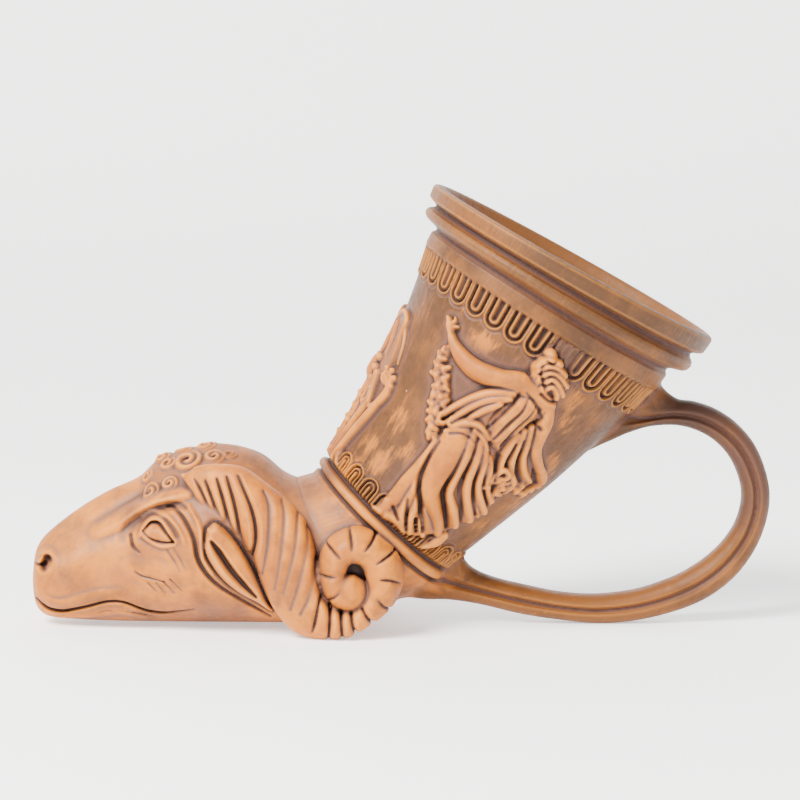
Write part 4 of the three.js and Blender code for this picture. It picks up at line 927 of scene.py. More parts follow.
def add_cup(s, space, chart):
    """Outer form of the cup, with its mouldings and ornament."""
    x, z = np.meshgrid(space.x, space.z, indexing="ij")
    along, up = cup_place(s, x, z)
    near = (along > CUP_BEFORE) & (along < s.cup_length + CUP_PAST) & (np.abs(up) < CUP_FAR)
    along = along[near].astype(np.float32)
    up = up[near].astype(np.float32)
    wall = profile_at(CUP_PROFILE, along).astype(np.float32)
    end = np.maximum(along - s.cup_length, CUP_START - along)
    for j, y in enumerate(space.y):
        radius = np.hypot(up, y)
        out = radius - wall
        skin = (out > CUP_UNDER) & (out < CUP_OVER) & (end < 1.0)
        angle = np.degrees(np.arctan2(-y, up[skin]))
        out[skin] -= chart.sample(angle, along[skin])
        found = -soft_least(-out, -end, CUP_EDGE)
        plane = space.field[:, j, :]
        plane[near] = np.minimum(plane[near], found)


# Head

# Sides and rows of the skins that the cells are filled from
FINE_FACETS = {"head": (96, 110), "horn": (40, 260), "handle": (48, 240)}

# Sections that carry the head into the neck ring: along, radius
NECK_RINGS = [(-7.0, 26.1), (-5.4, 26.0), (-4.4, 24.4), (2.6, 24.4)]

# How far carving reaches, where the face's carving begins and is full, and how far the head's
# meeting with the cup is rounded
CARVING_REACH = 5.5
FACE_BEGINS = 3.0
FACE_FULL = 9.0
HEAD_SOFTNESS = 0.8


def head_size(s, station):
    """Crown and chin points and half widths at head stations."""
    rows = smooth_rows(HEAD_STATIONS, np.atleast_1d(station)) / 100.0
    top = np.stack([rows[:, 0] * s.head_length, 0 * rows[:, 0], rows[:, 1] * s.head_height], axis=-1)
    bottom = np.stack([rows[:, 2] * s.head_length, 0 * rows[:, 0], rows[:, 3] * s.head_height], axis=-1)
    return top, bottom, rows[:, 4:7] * s.head_width / 2


def head_ring(s, station, inset, sides):
    """Section of the head at one station."""
    top, bottom, (crown, cheek, jaw) = (part[0] for part in head_size(s, station))
    turn = 2 * np.pi * np.arange(sides) / sides
    rise = np.cos(turn)
    reach = np.sin(turn)
    width = cheek + np.where(rise > 0, crown - cheek, jaw - cheek) * blend(np.abs(rise), 0, 1)
    round_end = blend(station, 0.85, 1)
    square = blend(station, 0.1, 0.45)
    low = FULLNESS + (JAW_FULLNESS - FULLNESS) * square
    power = np.where(rise < 0, low, FULLNESS)
    power = power + (1 - power) * round_end
    up = np.sign(rise) * np.abs(rise) ** power
    half = (top - bottom) / 2
    length = np.linalg.norm(half)
    points = (top + bottom) / 2 + up[:, None] * (half / length) * max(length - inset, 0.5)
    points[:, 1] = -reach * np.maximum(width - inset, 0.5)
    return points


def head_skin(s, sides, rows):
    """Sections of the head from the muzzle to the neck ring."""
    sections = [head_ring(s, station, 0.0, sides) for station in np.linspace(0, 1, rows)]
    for along, radius in NECK_RINGS:
        sections.append(ring(s, along, radius, sides))
    return sections


def side_chart(space, where, marks):
    """Depth of carving over the side view, from a list of marks."""
    x = space.x[where[0]][:, None]
    z = space.z[where[2]][None, :]
    depth = np.zeros((x.shape[0], z.shape[1]), dtype=np.float32)
    for kind, path, halves, depths in marks:
        found = mark_heights(x, z, path, halves, depths)
        depth = depth + found if kind == "cut" else depth - found
    return depth


def mark_heights(x, z, path, halves, depths):
    """Heights of one mark in the side view."""
    points, half, rise = path_steps(path, halves, depths)
    best = np.zeros((x.shape[0], z.shape[1]))
    for i in range(len(points) - 1):
        dx, dz = points[i + 1] - points[i]
        px = x - points[i, 0]
        pz = z - points[i, 1]
        t = np.clip((px * dx + pz * dz) / (dx * dx + dz * dz + 1e-9), 0, 1)
        far = np.hypot(px - t * dx, pz - t * dz) / (half[i] + t * (half[i + 1] - half[i]))
        best = np.maximum(best, soft_crest(far) * (rise[i] + t * (rise[i + 1] - rise[i])))
    return best


def ear_depth(s, space, where):
    """Ear leaf over the side view: its raised rims and its slit, as carving depths."""
    x = space.x[where[0]][:, None]
    z = space.z[where[2]][None, :]
    outline = smooth_rows(EAR_OUTLINE + EAR_OUTLINE[:1], np.linspace(0, 1, 70))[:-1]
    inside, far = outline_distance(outline, x, z, 1.0)
    rounding = (1 - (1 - np.clip(far / EAR_EDGE, 0, 1)) ** 2) ** 0.5
    leaf = np.where(inside, s.ear_rise * rounding, 0.0)
    slit = mark_heights(x, z, EAR_SLIT, EAR_SLIT_HALVES, EAR_SLIT_DEPTHS)
    bed = soft_crest(np.where(inside, EMPTY, far) / EAR_BED_HALF) * EAR_BED_DEPTH
    return slit + bed - leaf


def add_head(s, space, facets):
    """Head with its carved face and its ears."""
    points, faces = skin_of(head_skin(s, *facets))
    found, where = space.distances(points, faces, CARVING_REACH)
    carving = side_chart(space, where, FACE_MARKS) + ear_depth(s, space, where)
    side = blend(np.abs(space.y[where[1]]), FACE_BEGINS, FACE_FULL)
    found += (carving[:, None, :] * side[None, :, None]).astype(np.float32)
    add_wool(space, found, where)
    space.join(found, where, HEAD_SOFTNESS)


def add_wool(space, found, where):
    """Snail curls of wool over the crown of the head."""
    axes = [axis[part] for axis, part in zip((space.x, space.y, space.z), where)]
    for along, out, radius, height, turn in WOOL_CURLS:
        for side in ((-1, 1) if out > 0.5 else (1,)):
            add_curl(space, found, axes, (along, side * out), radius, height, side * turn)


def add_curl(space, found, axes, place, radius, height, turn):
    """One snail curl, standing square on the crown."""
    x, y, z = axes
    along, out = place
    column = found[int((along - x[0]) / space.step), int((out - y[0]) / space.step), :]
    top = z[np.nonzero(column < 0)[0][-1]]
    centre = np.array([along, out, top])
    near = tuple(
        slice(*np.searchsorted(axis, (c - radius - 2, c + radius + 2))) for axis, c in zip(axes, centre)
    )
    px, py, pz = np.meshgrid(x[near[0]] - along, y[near[1]] - out, z[near[2]] - top, indexing="ij")
    block = found[near]
    level, u, v = square_on(block, px, py, pz)
    heights = curl_heights(np.hypot(u, v), turn * np.arctan2(v, u), radius, height)
    fade = np.clip(1 - np.abs(level) / CURL_REACH, 0, 1)
    found[near] = block - (heights * fade).astype(np.float32)


def square_on(block, px, py, pz):
    """Height over the surface at a block's middle, and two coordinates along the surface."""
    tilt = np.gradient(block, axis=(0, 1, 2))
    middle = tuple(n // 2 for n in block.shape)
    normal = np.array([part[middle] for part in tilt])
    normal = normal / np.linalg.norm(normal)
    east = np.array([normal[2], 0, -normal[0]]) / math.hypot(normal[0], normal[2])
    north = np.cross(normal, east)
    level = px * normal[0] + py * normal[1] + pz * normal[2]
    return level, px * east[0] + pz * east[2], px * north[0] + py * north[1] + pz * north[2]


def curl_heights(reach, phase, radius, height):
    """Heights of a curl: a dome with a spiral on it and a pit in its middle."""
    dome = height * np.sqrt(np.clip(1 - (reach / radius) ** 2, 0, 1))
    coil = 0.5 - 0.5 * np.cos(2 * np.pi * reach / (radius * CURL_PITCH) + phase)
    pit = np.clip(1 - reach / (radius * CURL_PIT), 0, 1)
    return dome * (CURL_GROUND + CURL_RIDGE * coil) - pit * height * CURL_PIT_DEPTH


# Horns

# A growth groove's cuts along its path: shares of its half width, then of its depth. The sharper
# cut is shallow in the wide grooves.
BROAD_CUT = ((2.0, 3.0, 3.0, 2.0), (0.3, 0.8, 0.8, 0.4))
SHARP_CUT_HALVES = (0.8, 1.2, 1.2, 0.7)
WIDE_GROOVE = 0.75

# How far the horn's distances reach, where its grooves begin and are full, its rounding at the head
HORN_REACH = 3.0
GROOVES_BEGIN = 17.0
GROOVES_FULL = 22.0
HORN_SOFTNESS = 0.5

# Balls that fill the coil and blunt the horn's tip: along, out, up, radius, rounding
HORN_BALLS = [(105.0, 22.5, 22.0, 7.0, 0.8), (103.8, 30.6, 15.4, 6.0, 1.2)]

# Fullness of the horn's section, and how fast its tip closes and its root opens
HORN_WIDE = 0.92
HORN_THICK = 0.86
TIP_RATE = 22
ROOT_RATE = 20
ROOT_SIZE = 0.3
TIP_SIZE = 0.02


def full_round(wave, fullness):
    """Sine or cosine squared off a little."""
    return np.sign(wave) * np.abs(wave) ** fullness


def horn_sections(s, side, count, sides):
    """Sections of a horn from the brow round its coil to the tip."""
    share = np.linspace(0, 1, count)
    lines = smooth_rows(HORN_LINES, share)
    number = share * (len(HORN_LINES) - 1)
    table = np.array(HORN_OUT)
    inner_out, outer_out, thick = (np.interp(number, table[:, 0], table[:, k]) for k in (1, 2, 3))
    inner = np.stack([lines[:, 0], side * inner_out, lines[:, 1]], axis=-1)
    outer = np.stack([lines[:, 2], side * outer_out, lines[:, 3]], axis=-1)
    middle = (inner + outer) / 2
    reach = (outer - inner) / 2
    axis = reach / np.linalg.norm(reach, axis=1)[:, None]
    outward = np.array([0.0, side, 0.0])[None, :] - side * axis[:, 1:2] * axis
    outward = outward / np.linalg.norm(outward, axis=1)[:, None]
    turn = 2 * np.pi * np.arange(sides) / sides
    c = full_round(np.cos(turn), HORN_WIDE)
    d = full_round(np.sin(turn), HORN_THICK)
    end = np.minimum(1.0, np.sqrt(np.clip((1 - share) * TIP_RATE, TIP_SIZE, 1)))
    start = np.minimum(1.0, ROOT_SIZE + share * ROOT_RATE)
    size = (end * start)[:, None, None]
    points = middle[:, None, :] + size * c[None, :, None] * reach[:, None, :]
    return points + size * (d[None, :] * thick[:, None])[:, :, None] * outward[:, None, :]


def groove_marks():
    """Each growth groove as a broad cut with a sharper one in it."""
    marks = []
    for path, half, deep in HORN_GROOVES:
        sharp = 0.3 if half > WIDE_GROOVE else 0.8
        for halves, depths in (BROAD_CUT, (SHARP_CUT_HALVES, (0.4, sharp, sharp, 0.3))):
            wide = [half * share for share in halves]
            marks.append(("cut", path, wide, [deep * share for share in depths]))
    return marks


def add_horns(s, space, facets):
    """Both horns with their growth grooves."""
    marks = groove_marks()
    sides, rows = facets
    for side in (-1, 1):
        points, faces = skin_of(horn_sections(s, side, rows, sides))
        found, where = space.distances(points, faces, HORN_REACH)
        grooves = side_chart(space, where, marks)
        outer = blend(side * space.y[where[1]], GROOVES_BEGIN, GROOVES_FULL)
        found += (grooves[:, None, :] * outer[None, :, None]).astype(np.float32)
        space.join(found, where, HORN_SOFTNESS)
        for x, out, z, radius, softness in HORN_BALLS:
            space.join(*ball(space, (x, side * out, z), radius), softness)


def ball(space, centre, radius):
    """Distances to a ball, and the window they fill."""
    centre = np.array(centre)
    where = space.window(centre - radius - 2, centre + radius + 2)
    axes = zip((space.x, space.y, space.z), where, centre)
    x, y, z = np.ix_(*(axis[part] - middle for axis, part, middle in axes))
    return (np.sqrt(x * x + y * y + z * z) - radius).astype(np.float32), where


# Handle

# Outer edge then inner edge in the side view, from the upper root round to the lower root
HANDLE_LINES = [
    (190, 93, 178, 70), (196, 86, 178.5, 62), (201.2, 82, 180, 57.4), (205.6, 76.6, 186.4, 59.6),
    (209.8, 73.7, 193, 62.6), (214.6, 73, 200.4, 64.8), (221, 70.9, 209, 65.2),
    (227.5, 66.9, 216.4, 63.2), (233.4, 60.7, 222.6, 59.2), (237.3, 53.2, 227.4, 53),
    (239.6, 43.8, 230.3, 44.2), (238.8, 34.6, 229.4, 36), (235.2, 24.9, 225.6, 28.6),
    (229.1, 16.2, 219.4, 22.2), (221, 9.5, 211.6, 17), (211.2, 4.9, 204.2, 13.8),
    (198.1, 1.5, 195.6, 11.2), (185.1, 0.3, 184, 9.8), (172, 1.4, 172.4, 10.4),
    (158.9, 3.4, 160.4, 12.8), (145.9, 6.5, 149.8, 15.5), (136.1, 8, 143.2, 18.6),
    (128, 8.2, 139.8, 22.4), (120.5, 9.2, 134, 28),
]


# How the handle spreads at its roots: share of its length, then share added to its width
UPPER_ROOT = 0.2
UPPER_SPREAD = 0.45
LOWER_ROOT = 0.1
LOWER_SPREAD = 0.6

# Groove along the handle's sides and fullness of its ribs, as shares of its section; its rounding
GROOVE_HALF = 0.17
RIB_FULLNESS = 0.75
HANDLE_REACH = 3.0
HANDLE_SOFTNESS = 1.6


def handle_sections(s, count, sides):
    """Sections of the handle: two rounded ribs with a groove between them on either side."""
    share = np.linspace(0, 1, count)
    lines = smooth_rows(HANDLE_LINES, share)
    outer = lines[:, 0:2]
    inner = lines[:, 2:4]
    middle = (outer + inner) / 2
    reach = (outer - inner) / 2
    upper = np.clip(1 - share / UPPER_ROOT, 0, 1)
    lower = np.clip(1 - (1 - share) / LOWER_ROOT, 0, 1)
    wide = s.handle_width / 2 * (1 + UPPER_SPREAD * upper + LOWER_SPREAD * lower ** 2)
    turn = 2 * np.pi * np.arange(sides) / sides
    c = np.cos(turn)
    d = np.sin(turn)
    pinch = 1 - (s.handle_groove / (s.handle_width / 2)) * np.exp(-(c / GROOVE_HALF) ** 2)
    ribs = full_round(d, RIB_FULLNESS) * pinch
    points = np.empty((count, sides, 3))
    points[:, :, 0] = middle[:, 0:1] + c[None, :] * reach[:, 0:1]
    points[:, :, 2] = middle[:, 1:2] + c[None, :] * reach[:, 1:2]
    points[:, :, 1] = ribs[None, :] * wide[:, None]
    return points


def add_handle(s, space, facets):
    """Loop handle, flowing into the cup at both roots."""
    sides, rows = facets
    points, faces = skin_of(handle_sections(s, rows, sides))
    found, where = space.distances(points, faces, HANDLE_REACH)
    space.join(found, where, HANDLE_SOFTNESS)


# Hollow

# Sections of the hollow: first, last and how many, as head stations and then along the cup
HOLLOW_HEAD = (0.3, 0.93, 24)
HOLLOW_CUP = (0.0, 78.0, 14)
HOLLOW_SIDES = 64
HOLLOW_REACH = 2.5
HOLLOW_SOFTNESS = 1.0
MOUTH_DEPTH = 20.0


def hollow_skin(s):
    """Sections of the hollow from deep in the head up to the mouth."""
    stations = np.linspace(*HOLLOW_HEAD)
    sections = [head_ring(s, station, s.wall, HOLLOW_SIDES) for station in stations]
    for along in np.linspace(*HOLLOW_CUP):
        sections.append(ring(s, along, wall_radius(along) - s.wall, HOLLOW_SIDES))
    for above, radius in HOLLOW_MOUTH:
        sections.append(ring(s, s.cup_length + above, radius, HOLLOW_SIDES))
    return sections


def hollow_radius(s, along):
    """Radius of the hollow."""
    plain = wall_radius(along) - s.wall
    mouth = profile_at(HOLLOW_MOUTH, along - s.cup_length)
    return np.where(along < s.cup_length - MOUTH_DEPTH, plain, mouth)


def add_hollow(s, space):
    """Cuts the hollow, and the flats it lies on."""
    points, faces = skin_of(hollow_skin(s))
    found, where = space.distances(points, faces, HOLLOW_REACH)
    space.cut(found, where, HOLLOW_SOFTNESS)
    below = (TABLE_Z - space.z)[None, None, :]
    np.maximum(space.field, below, out=space.field)


# Wear and painted shade

def averaged(values, cells, passes):
    """Values averaged over a cube of cells, several times over."""
    for _ in range(passes):
        for axis in range(3):
            total = values.copy()
            moved = np.moveaxis(values, axis, 0)
            goal = np.moveaxis(total, axis, 0)
            for k in range(1, cells + 1):
                goal[k:] += moved[:-k]
                goal[:-k] += moved[k:]
            total /= 2 * cells + 1
            values = total
    return values


def at_points(values, places):
    """Values between cells, at places counted in cells."""
    places = np.clip(places, 0, np.array(values.shape) - 1.001)
    base = places.astype(int)
    part = places - base
    total = 0
    for corner in range(8):
        pick = [(corner >> axis) & 1 for axis in range(3)]
        weight = np.prod([part[:, a] if pick[a] else 1 - part[:, a] for a in range(3)], axis=0)
        total = total + weight * values[base[:, 0] + pick[0], base[:, 1] + pick[1], base[:, 2] + pick[2]]
    return total


# How far the fine and the broad averages look, and how deep
FINE_REACH = 0.8
FINE_DEPTH = 1.6
BROAD_REACH = 1.6
BROAD_DEPTH = 5
PASSES = 2


def hollows_map(space):
    """Two fields that are negative in hollows and positive on crests: fine and broad."""
    fine = np.clip(space.field, -FINE_DEPTH, FINE_DEPTH)
    broad = np.clip(space.field[::2, ::2, ::2], -BROAD_DEPTH, BROAD_DEPTH)
    fine = averaged(fine, max(1, round(FINE_REACH / space.step)), PASSES)
    return fine, averaged(broad, max(1, round(BROAD_REACH / space.step)), PASSES)


# Skin of the finished vessel

# In cells: how far from the skin distances are kept, and how far apart its slope is read
SKIN_BAND = 3.0
SLOPE_STEP = 0.75


def skin_mesh(space):
    """Closed mesh of the sculpted solid, in metres."""
    limit = SKIN_BAND * space.step
    cells = vdb.FloatGrid(limit)
    cells.copyFromArray(np.clip(space.field, -limit, limit))
    cells.transform = vdb.createLinearTransform(voxelSize=space.step)
    points, quads = cells.convertToQuads(0.0)
    points = (points + space.low - (MIDDLE_X, 0.0, TABLE_Z)) * MILLIMETRE
    return face_mesh(points, quads.ravel(), np.full(len(quads), 4))


def face_mesh(points, corners, sizes):
    """Mesh from points, the corners of all its faces in turn, and how many corners each face has."""
    mesh = bpy.data.meshes.new("rhyton_skin")
    mesh.vertices.add(len(points))
    mesh.vertices.foreach_set("co", points.astype(np.float32).ravel())
    mesh.loops.add(len(corners))
    mesh.loops.foreach_set("vertex_index", corners.astype(np.int32))
    mesh.polygons.add(len(sizes))
    mesh.polygons.foreach_set("loop_start", (np.cumsum(sizes) - sizes).astype(np.int32))
    mesh.polygons.foreach_set("loop_total", sizes.astype(np.int32))
    mesh.update(calc_edges=True)
    return mesh


def thinned(mesh, triangles):
    """The mesh collapsed to a number of triangles, keeping its form."""
    before = 2 * len(mesh.polygons)
    if before <= triangles:
        return mesh
    holder = shown("thinning", mesh)
    thin = holder.modifiers.new("thin", "DECIMATE")
    thin.ratio = triangles / before
    finished = holder.evaluated_get(bpy.context.evaluated_depsgraph_get())
    shape = bpy.data.meshes.new_from_object(finished)
    bpy.data.objects.remove(holder)
    bpy.data.meshes.remove(mesh)
    return shape


def read(group, name, size, kind):
    """Numbers of all the members of a mesh's group."""
    values = np.empty(len(group) * size, dtype=kind)
    group.foreach_get(name, values)
    return values.reshape(-1, size) if size > 1 else values


def slices_of(mesh, count):
    """The skin in slices along the vessel, with as many triangles in each."""
    points = read(mesh.vertices, "co", 3, np.float32)
    corners = read(mesh.loops, "vertex_index", 1, np.int32)
    starts = read(mesh.polygons, "loop_start", 1, np.int32)
    sizes = read(mesh.polygons, "loop_total", 1, np.int32)
    order = np.argsort(points[corners[starts], 0], kind="stable")
    share = np.cumsum(sizes[order] - 2) / (sizes - 2).sum()
    meshes = []
    for k in range(count):
        faces = np.sort(order[(share > k / count) & (share <= (k + 1) / count)])
        part = sizes[faces]
        pick = np.repeat(starts[faces] - (np.cumsum(part) - part), part) + np.arange(part.sum())
        used, local = np.unique(corners[pick], return_inverse=True)
        meshes.append(face_mesh(points[used], local.ravel(), part))
    bpy.data.meshes.remove(mesh)
    return meshes


def vertex_places(mesh):
    """Vertices in the sculpting space."""
    return read(mesh.vertices, "co", 3, np.float32) / MILLIMETRE + (MIDDLE_X, 0.0, TABLE_Z)


def set_layer(mesh, name, values):
    """Stores one number for each vertex."""
    layer = mesh.attributes.new(name, "FLOAT", "POINT")
    layer.data.foreach_set("value", np.asarray(values, dtype=np.float32))


def set_normals(mesh, space, places):
    """Smooth shading that follows the sculpted field."""
    cells = (places - space.low) / space.step
    slopes = []
    for axis in range(3):
        step = np.zeros(3)
        step[axis] = SLOPE_STEP
        slopes.append(at_points(space.field, cells + step) - at_points(space.field, cells - step))
    normals = np.stack(slopes, axis=-1)
    normals /= np.linalg.norm(normals, axis=1)[:, None] + 1e-9
    mesh.polygons.foreach_set("use_smooth", np.ones(len(mesh.polygons), dtype=bool))
    mesh.normals_split_custom_set_from_vertices(normals)


# The hollow's skin: near the mouth it is known by its radius, and deeper by how far it lies inside
MOUTH_FROM = 60.0
MOUTH_BELOW_LIP = 0.2
MOUTH_SLACK = 0.5
DEEP_INSIDE = -1.1


def in_hollow(s, space, fine, places):
    """Which places lie on the skin of the hollow."""
    along, up = cup_place(s, places[:, 0], places[:, 2])
    radius = np.hypot(up, places[:, 1])
    near_mouth = (along > MOUTH_FROM) & (along < s.cup_length - MOUTH_BELOW_LIP)
    by_mouth = near_mouth & (radius < hollow_radius(s, along) + MOUTH_SLACK)
    return by_mouth | (at_points(fine, (places - space.low) / space.step) < DEEP_INSIDE)


class Spots:
    """Where the skin's vertices are, by the side view and by the cup."""

    def __init__(self, s, places):
        self.x, self.y, self.z = places.T
        self.side = np.abs(self.y)
        self.along, up = cup_place(s, self.x, self.z)
        self.angle = np.degrees(np.arctan2(-self.y, up))
        self.over = np.hypot(up, self.y) - profile_at(CUP_PROFILE, self.along)
        self.on_cup = blend(self.along, -1.0, 1.5) * (np.abs(self.over) < CUP_OVER)
        self.on_cup = self.on_cup * (self.along < s.cup_length + 1.5)


def head_shade_shares(at):
    """Shares of the painted shade on the head: the nape, the wool, the coil's pit and the shaded
    patches.
    """
    # The nape, the hollows between the curls, the coil's pit and the shaded patches are darkened as
    # painted shade
    nape = blend(at.x, 56.0, 74.0) * blend(at.z, 24.0, 38.0)
    nape = nape * (1 - blend(at.side, 14.0, 22.0)) * (1 - at.on_cup)
    wool = blend(at.x, 34.0, 40.0) * (1 - blend(at.x, 66.0, 74.0))
    wool = wool * blend(at.z, 38.0, 45.0) * (1 - blend(at.side, 15.0, 20.0))
    pit = 1 - blend(np.hypot(at.x - 105.0, at.z - 22.4), 3.4, 4.6)
    pit = pit * (at.side > 24.0) * (at.side < 32.0)
    return nape, wool, pit, patches(SHADED, at.x, at.z) * (1 - at.on_cup)


def handle_ware_and_shade(at):
    """Shares of the handle and of the painted shade, with some dark wash, at its upper root."""
    loop = blend(at.over, 2.0, 7.0) * (at.x > 124.0) * (at.side < 12.0)
    # The upper root is darkened as painted shade with dark wash
    root = loop * blend(at.z, 56.0, 66.0) * (1 - blend(at.x, 208.0, 232.0))
    return loop, 0.65 * root


def cup_wear(s, chart, at):
    """Heights of the figures, and shares of the smoked and bared patches and of the mouldings."""
    proud = np.clip(chart.sample(at.angle, at.along), 0, 6) * blend(at.over, -1.5, 0.0) * at.on_cup
    around = wall_radius(at.along) * math.pi / 180
    smoked = patches(SMOKED, np.abs(at.angle), at.along, around) * at.on_cup
    bared = patches(BARED, np.abs(at.angle), at.along, around) * at.on_cup
    band = s.cup_length - s.moulding_height
    mouth = blend(at.along, band - 1.0, band + 2.0) * at.on_cup
    return proud, smoked, bared, mouth


def mark_wear_and_shade(s, mesh, space, chart, maps, places):
    """Where the dark wash and the painted shade settle, where the high places are rubbed, and which ware
    is where.
    """
    fine, broad = maps
    cells = (places - space.low) / space.step
    inside = in_hollow(s, space, fine, places)
    at = Spots(s, places)
    nape, wool, pit, shade = head_shade_shares(at)
    loop, stain = handle_ware_and_shade(at)
    proud, smoked, bared, mouth = cup_wear(s, chart, at)
    layers = {
        # The fine and broad hollows carry the dark wash and painted shade; the nape, the wool, the
        # shaded patches, the upper handle root and the coil's pit carry painted shade
        "fine": np.where(inside, 0.0, at_points(fine, cells)),
        "broad": np.where(inside, 0.0, at_points(broad, cells / 2)),
        "cup": at.on_cup,
        "proud": proud,
        "inside": inside,
        "loop": loop,
        "nape": nape,
        "stain": np.maximum(stain, pit),
        "wool": wool,
        "shade": shade,
        "smoked": smoked,
        "bared": bared,
        "mouth": mouth,
    }
    for name, values in layers.items():
        set_layer(mesh, name, values)


def patches(table, across, along, scale=1.0):
    """Soft patches, by two coordinates of the table's places."""
    total = np.zeros(len(across))
    for a, b, reach in table:
        far = np.hypot((across - a) * scale, along - b) / reach
        total = np.maximum(total, np.exp(-0.7 * far * far))
    return total


# Material

class Nodes:
    """Short way to build a material's nodes."""

    def __init__(self, name):
        self.material = bpy.data.materials.new(name)
        self.material.use_nodes = True
        self.tree = self.material.node_tree
        self.tree.nodes.clear()

    def add(self, kind, inputs=(), output=0, **settings):
        """One node. Its inputs are constants or other nodes' outputs."""
        node = self.tree.nodes.new(kind)
        for name, value in settings.items():
            setattr(node, name, value)
        for name, value in dict(inputs).items():
            socket = node.inputs[name]
            if isinstance(value, bpy.types.NodeSocket):
                self.tree.links.new(value, socket)
            else:
                socket.default_value = value
        return node.outputs[output] if node.outputs else None

    def layer(self, name):
        """A number stored on the mesh."""
        return self.add("ShaderNodeAttribute", output="Fac", attribute_name=name)

    def noise(self, place, scale, detail=4.0, rough=0.55):
        """Mottling between 0 and 1."""
        inputs = {"Vector": place, "Scale": scale, "Detail": detail, "Roughness": rough}
        return self.add("ShaderNodeTexNoise", inputs)

    def ramp(self, value, low, high, to_low=0.0, to_high=1.0):
        """Number moved from one range to another, smoothly."""
        inputs = {"Value": value, "From Min": low, "From Max": high, "To Min": to_low, "To Max": to_high}
        return self.add("ShaderNodeMapRange", inputs, interpolation_type="SMOOTHSTEP")

    def math(self, kind, a, b):
        """Sum, product and so on."""
        return self.add("ShaderNodeMath", {0: a, 1: b}, operation=kind)

    def times(self, a, b):
        """Product of two numbers."""
        return self.math("MULTIPLY", a, b)

    def mix(self, share, a, b):
        """Blend of two colours."""
        node = self.tree.nodes.new("ShaderNodeMix")
        node.data_type = "RGBA"
        for socket, value in ((node.inputs[0], share), (node.inputs[6], a), (node.inputs[7], b)):
            if isinstance(value, bpy.types.NodeSocket):
                self.tree.links.new(value, socket)
            elif socket == node.inputs[0]:
                socket.default_value = value
            else:
                socket.default_value = (*value, 1.0)
        return node.outputs[2]


# Colours of the clay, the wash with the painted shade of hollows, and the specks
PALE_CLAY = (0.500, 0.154, 0.006)
WARM_CLAY = (0.340, 0.094, 0.006)
BROWN_CLAY = (0.050, 0.019, 0.005)
RUST_CLAY = (0.150, 0.050, 0.008)
RUBBED_CLAY = (0.580, 0.225, 0.035)
# The dusty, mauve and dark tones are the dark wash in the cuts with painted shade, and painted shade in
# broad hollows, on the nape, between the curls and in shaded patches
DUSTY_WASH_AND_SHADE = (0.215, 0.082, 0.034)
MAUVE_WASH_AND_SHADE = (0.074, 0.032, 0.023)
DARK_WASH_AND_SHADE = (0.022, 0.010, 0.008)
WHITE_SPECK = (0.60, 0.52, 0.42)


def along_cup(n, place, lengthwise, across):
    """Places in the direction of the cup's middle line, stretched lengthwise."""
    inputs = {"Vector": place, "Rotation": (0.0, -0.98, 0.0), "Scale": (lengthwise, across, across)}
    return n.add("ShaderNodeMapping", inputs, vector_type="TEXTURE")


def pale_clay(n, place, mottle, cloud, streak):
    """Clay of the head and the figures, with rusty smudges and blotches."""
    pale = n.mix(n.ramp(mottle, 0.40, 0.60), PALE_CLAY, WARM_CLAY)
    smudge = n.times(n.ramp(cloud, 0.54, 0.66), n.ramp(streak, 0.35, 0.60, 0.25, 0.6))
    pale = n.mix(smudge, pale, RUST_CLAY)
    blotch = n.noise(place, 120.0, 5.0, 0.65)
    return n.mix(n.ramp(blotch, 0.50, 0.64, 0.0, 0.42), pale, RUST_CLAY)


def brown_clay(n, mottle, cloud, streak):
    """Clay of the cup and the handle, with bared and smoked patches and long scratches."""
    brown = n.mix(n.ramp(cloud, 0.40, 0.58, 0.1, 0.9), BROWN_CLAY, RUST_CLAY)
    patchy = n.times(n.math("SUBTRACT", n.math("ADD", mottle, streak), 1.0), 2.4)
    bared = n.ramp(n.math("ADD", n.layer("bared"), patchy), 0.55, 1.20)
    brown = n.mix(n.times(bared, 0.65), brown, PALE_CLAY)
    smoked = n.ramp(n.math("SUBTRACT", n.layer("smoked"), patchy), 0.20, 1.00)
    brown = n.mix(n.times(smoked, 0.8), brown, BROWN_CLAY)
    scratch = n.times(n.ramp(streak, 0.56, 0.68), n.ramp(cloud, 0.42, 0.58, 0.1, 0.6))
    return n.mix(scratch, brown, WARM_CLAY)


def bare_clay(n, place, mottle):
    """Colour of the bare clay, and the share of the brown ware."""
    cloud = n.noise(place, 24.0, 6.0, 0.65)
    streak = n.noise(along_cup(n, place, 0.016, 0.0016), 1.0, 6.0, 0.75)
    figure = n.ramp(n.layer("proud"), 0.5, 1.9, 1.0, 0.10)
    brown_ware = n.math("MAXIMUM", n.times(n.layer("cup"), figure), n.times(n.layer("loop"), 0.9))
    pale = pale_clay(n, place, mottle, cloud, streak)
    return n.mix(brown_ware, pale, brown_clay(n, mottle, cloud, streak)), brown_ware


def mauve_shade_share(n, mottle, fine):
    """Where mauve painted shade lies: broad hollows, the nape, between the curls, shaded patches."""
    # Each share is painted shade in mauve, mottled
    low = n.times(n.ramp(n.layer("broad"), 0.15, -0.80), n.ramp(mottle, 0.35, 0.62, 0.45, 0.95))
    nape = n.times(n.layer("nape"), n.ramp(mottle, 0.36, 0.62, 0.45, 0.95))
    curls = n.times(n.layer("wool"), n.ramp(fine, 0.16, -0.14))
    shade = n.times(n.layer("shade"), n.ramp(mottle, 0.38, 0.60, 0.25, 0.75))
    share = n.math("MAXIMUM", n.math("MAXIMUM", low, nape), n.math("MAXIMUM", curls, shade))
    return n.times(share, 0.85)


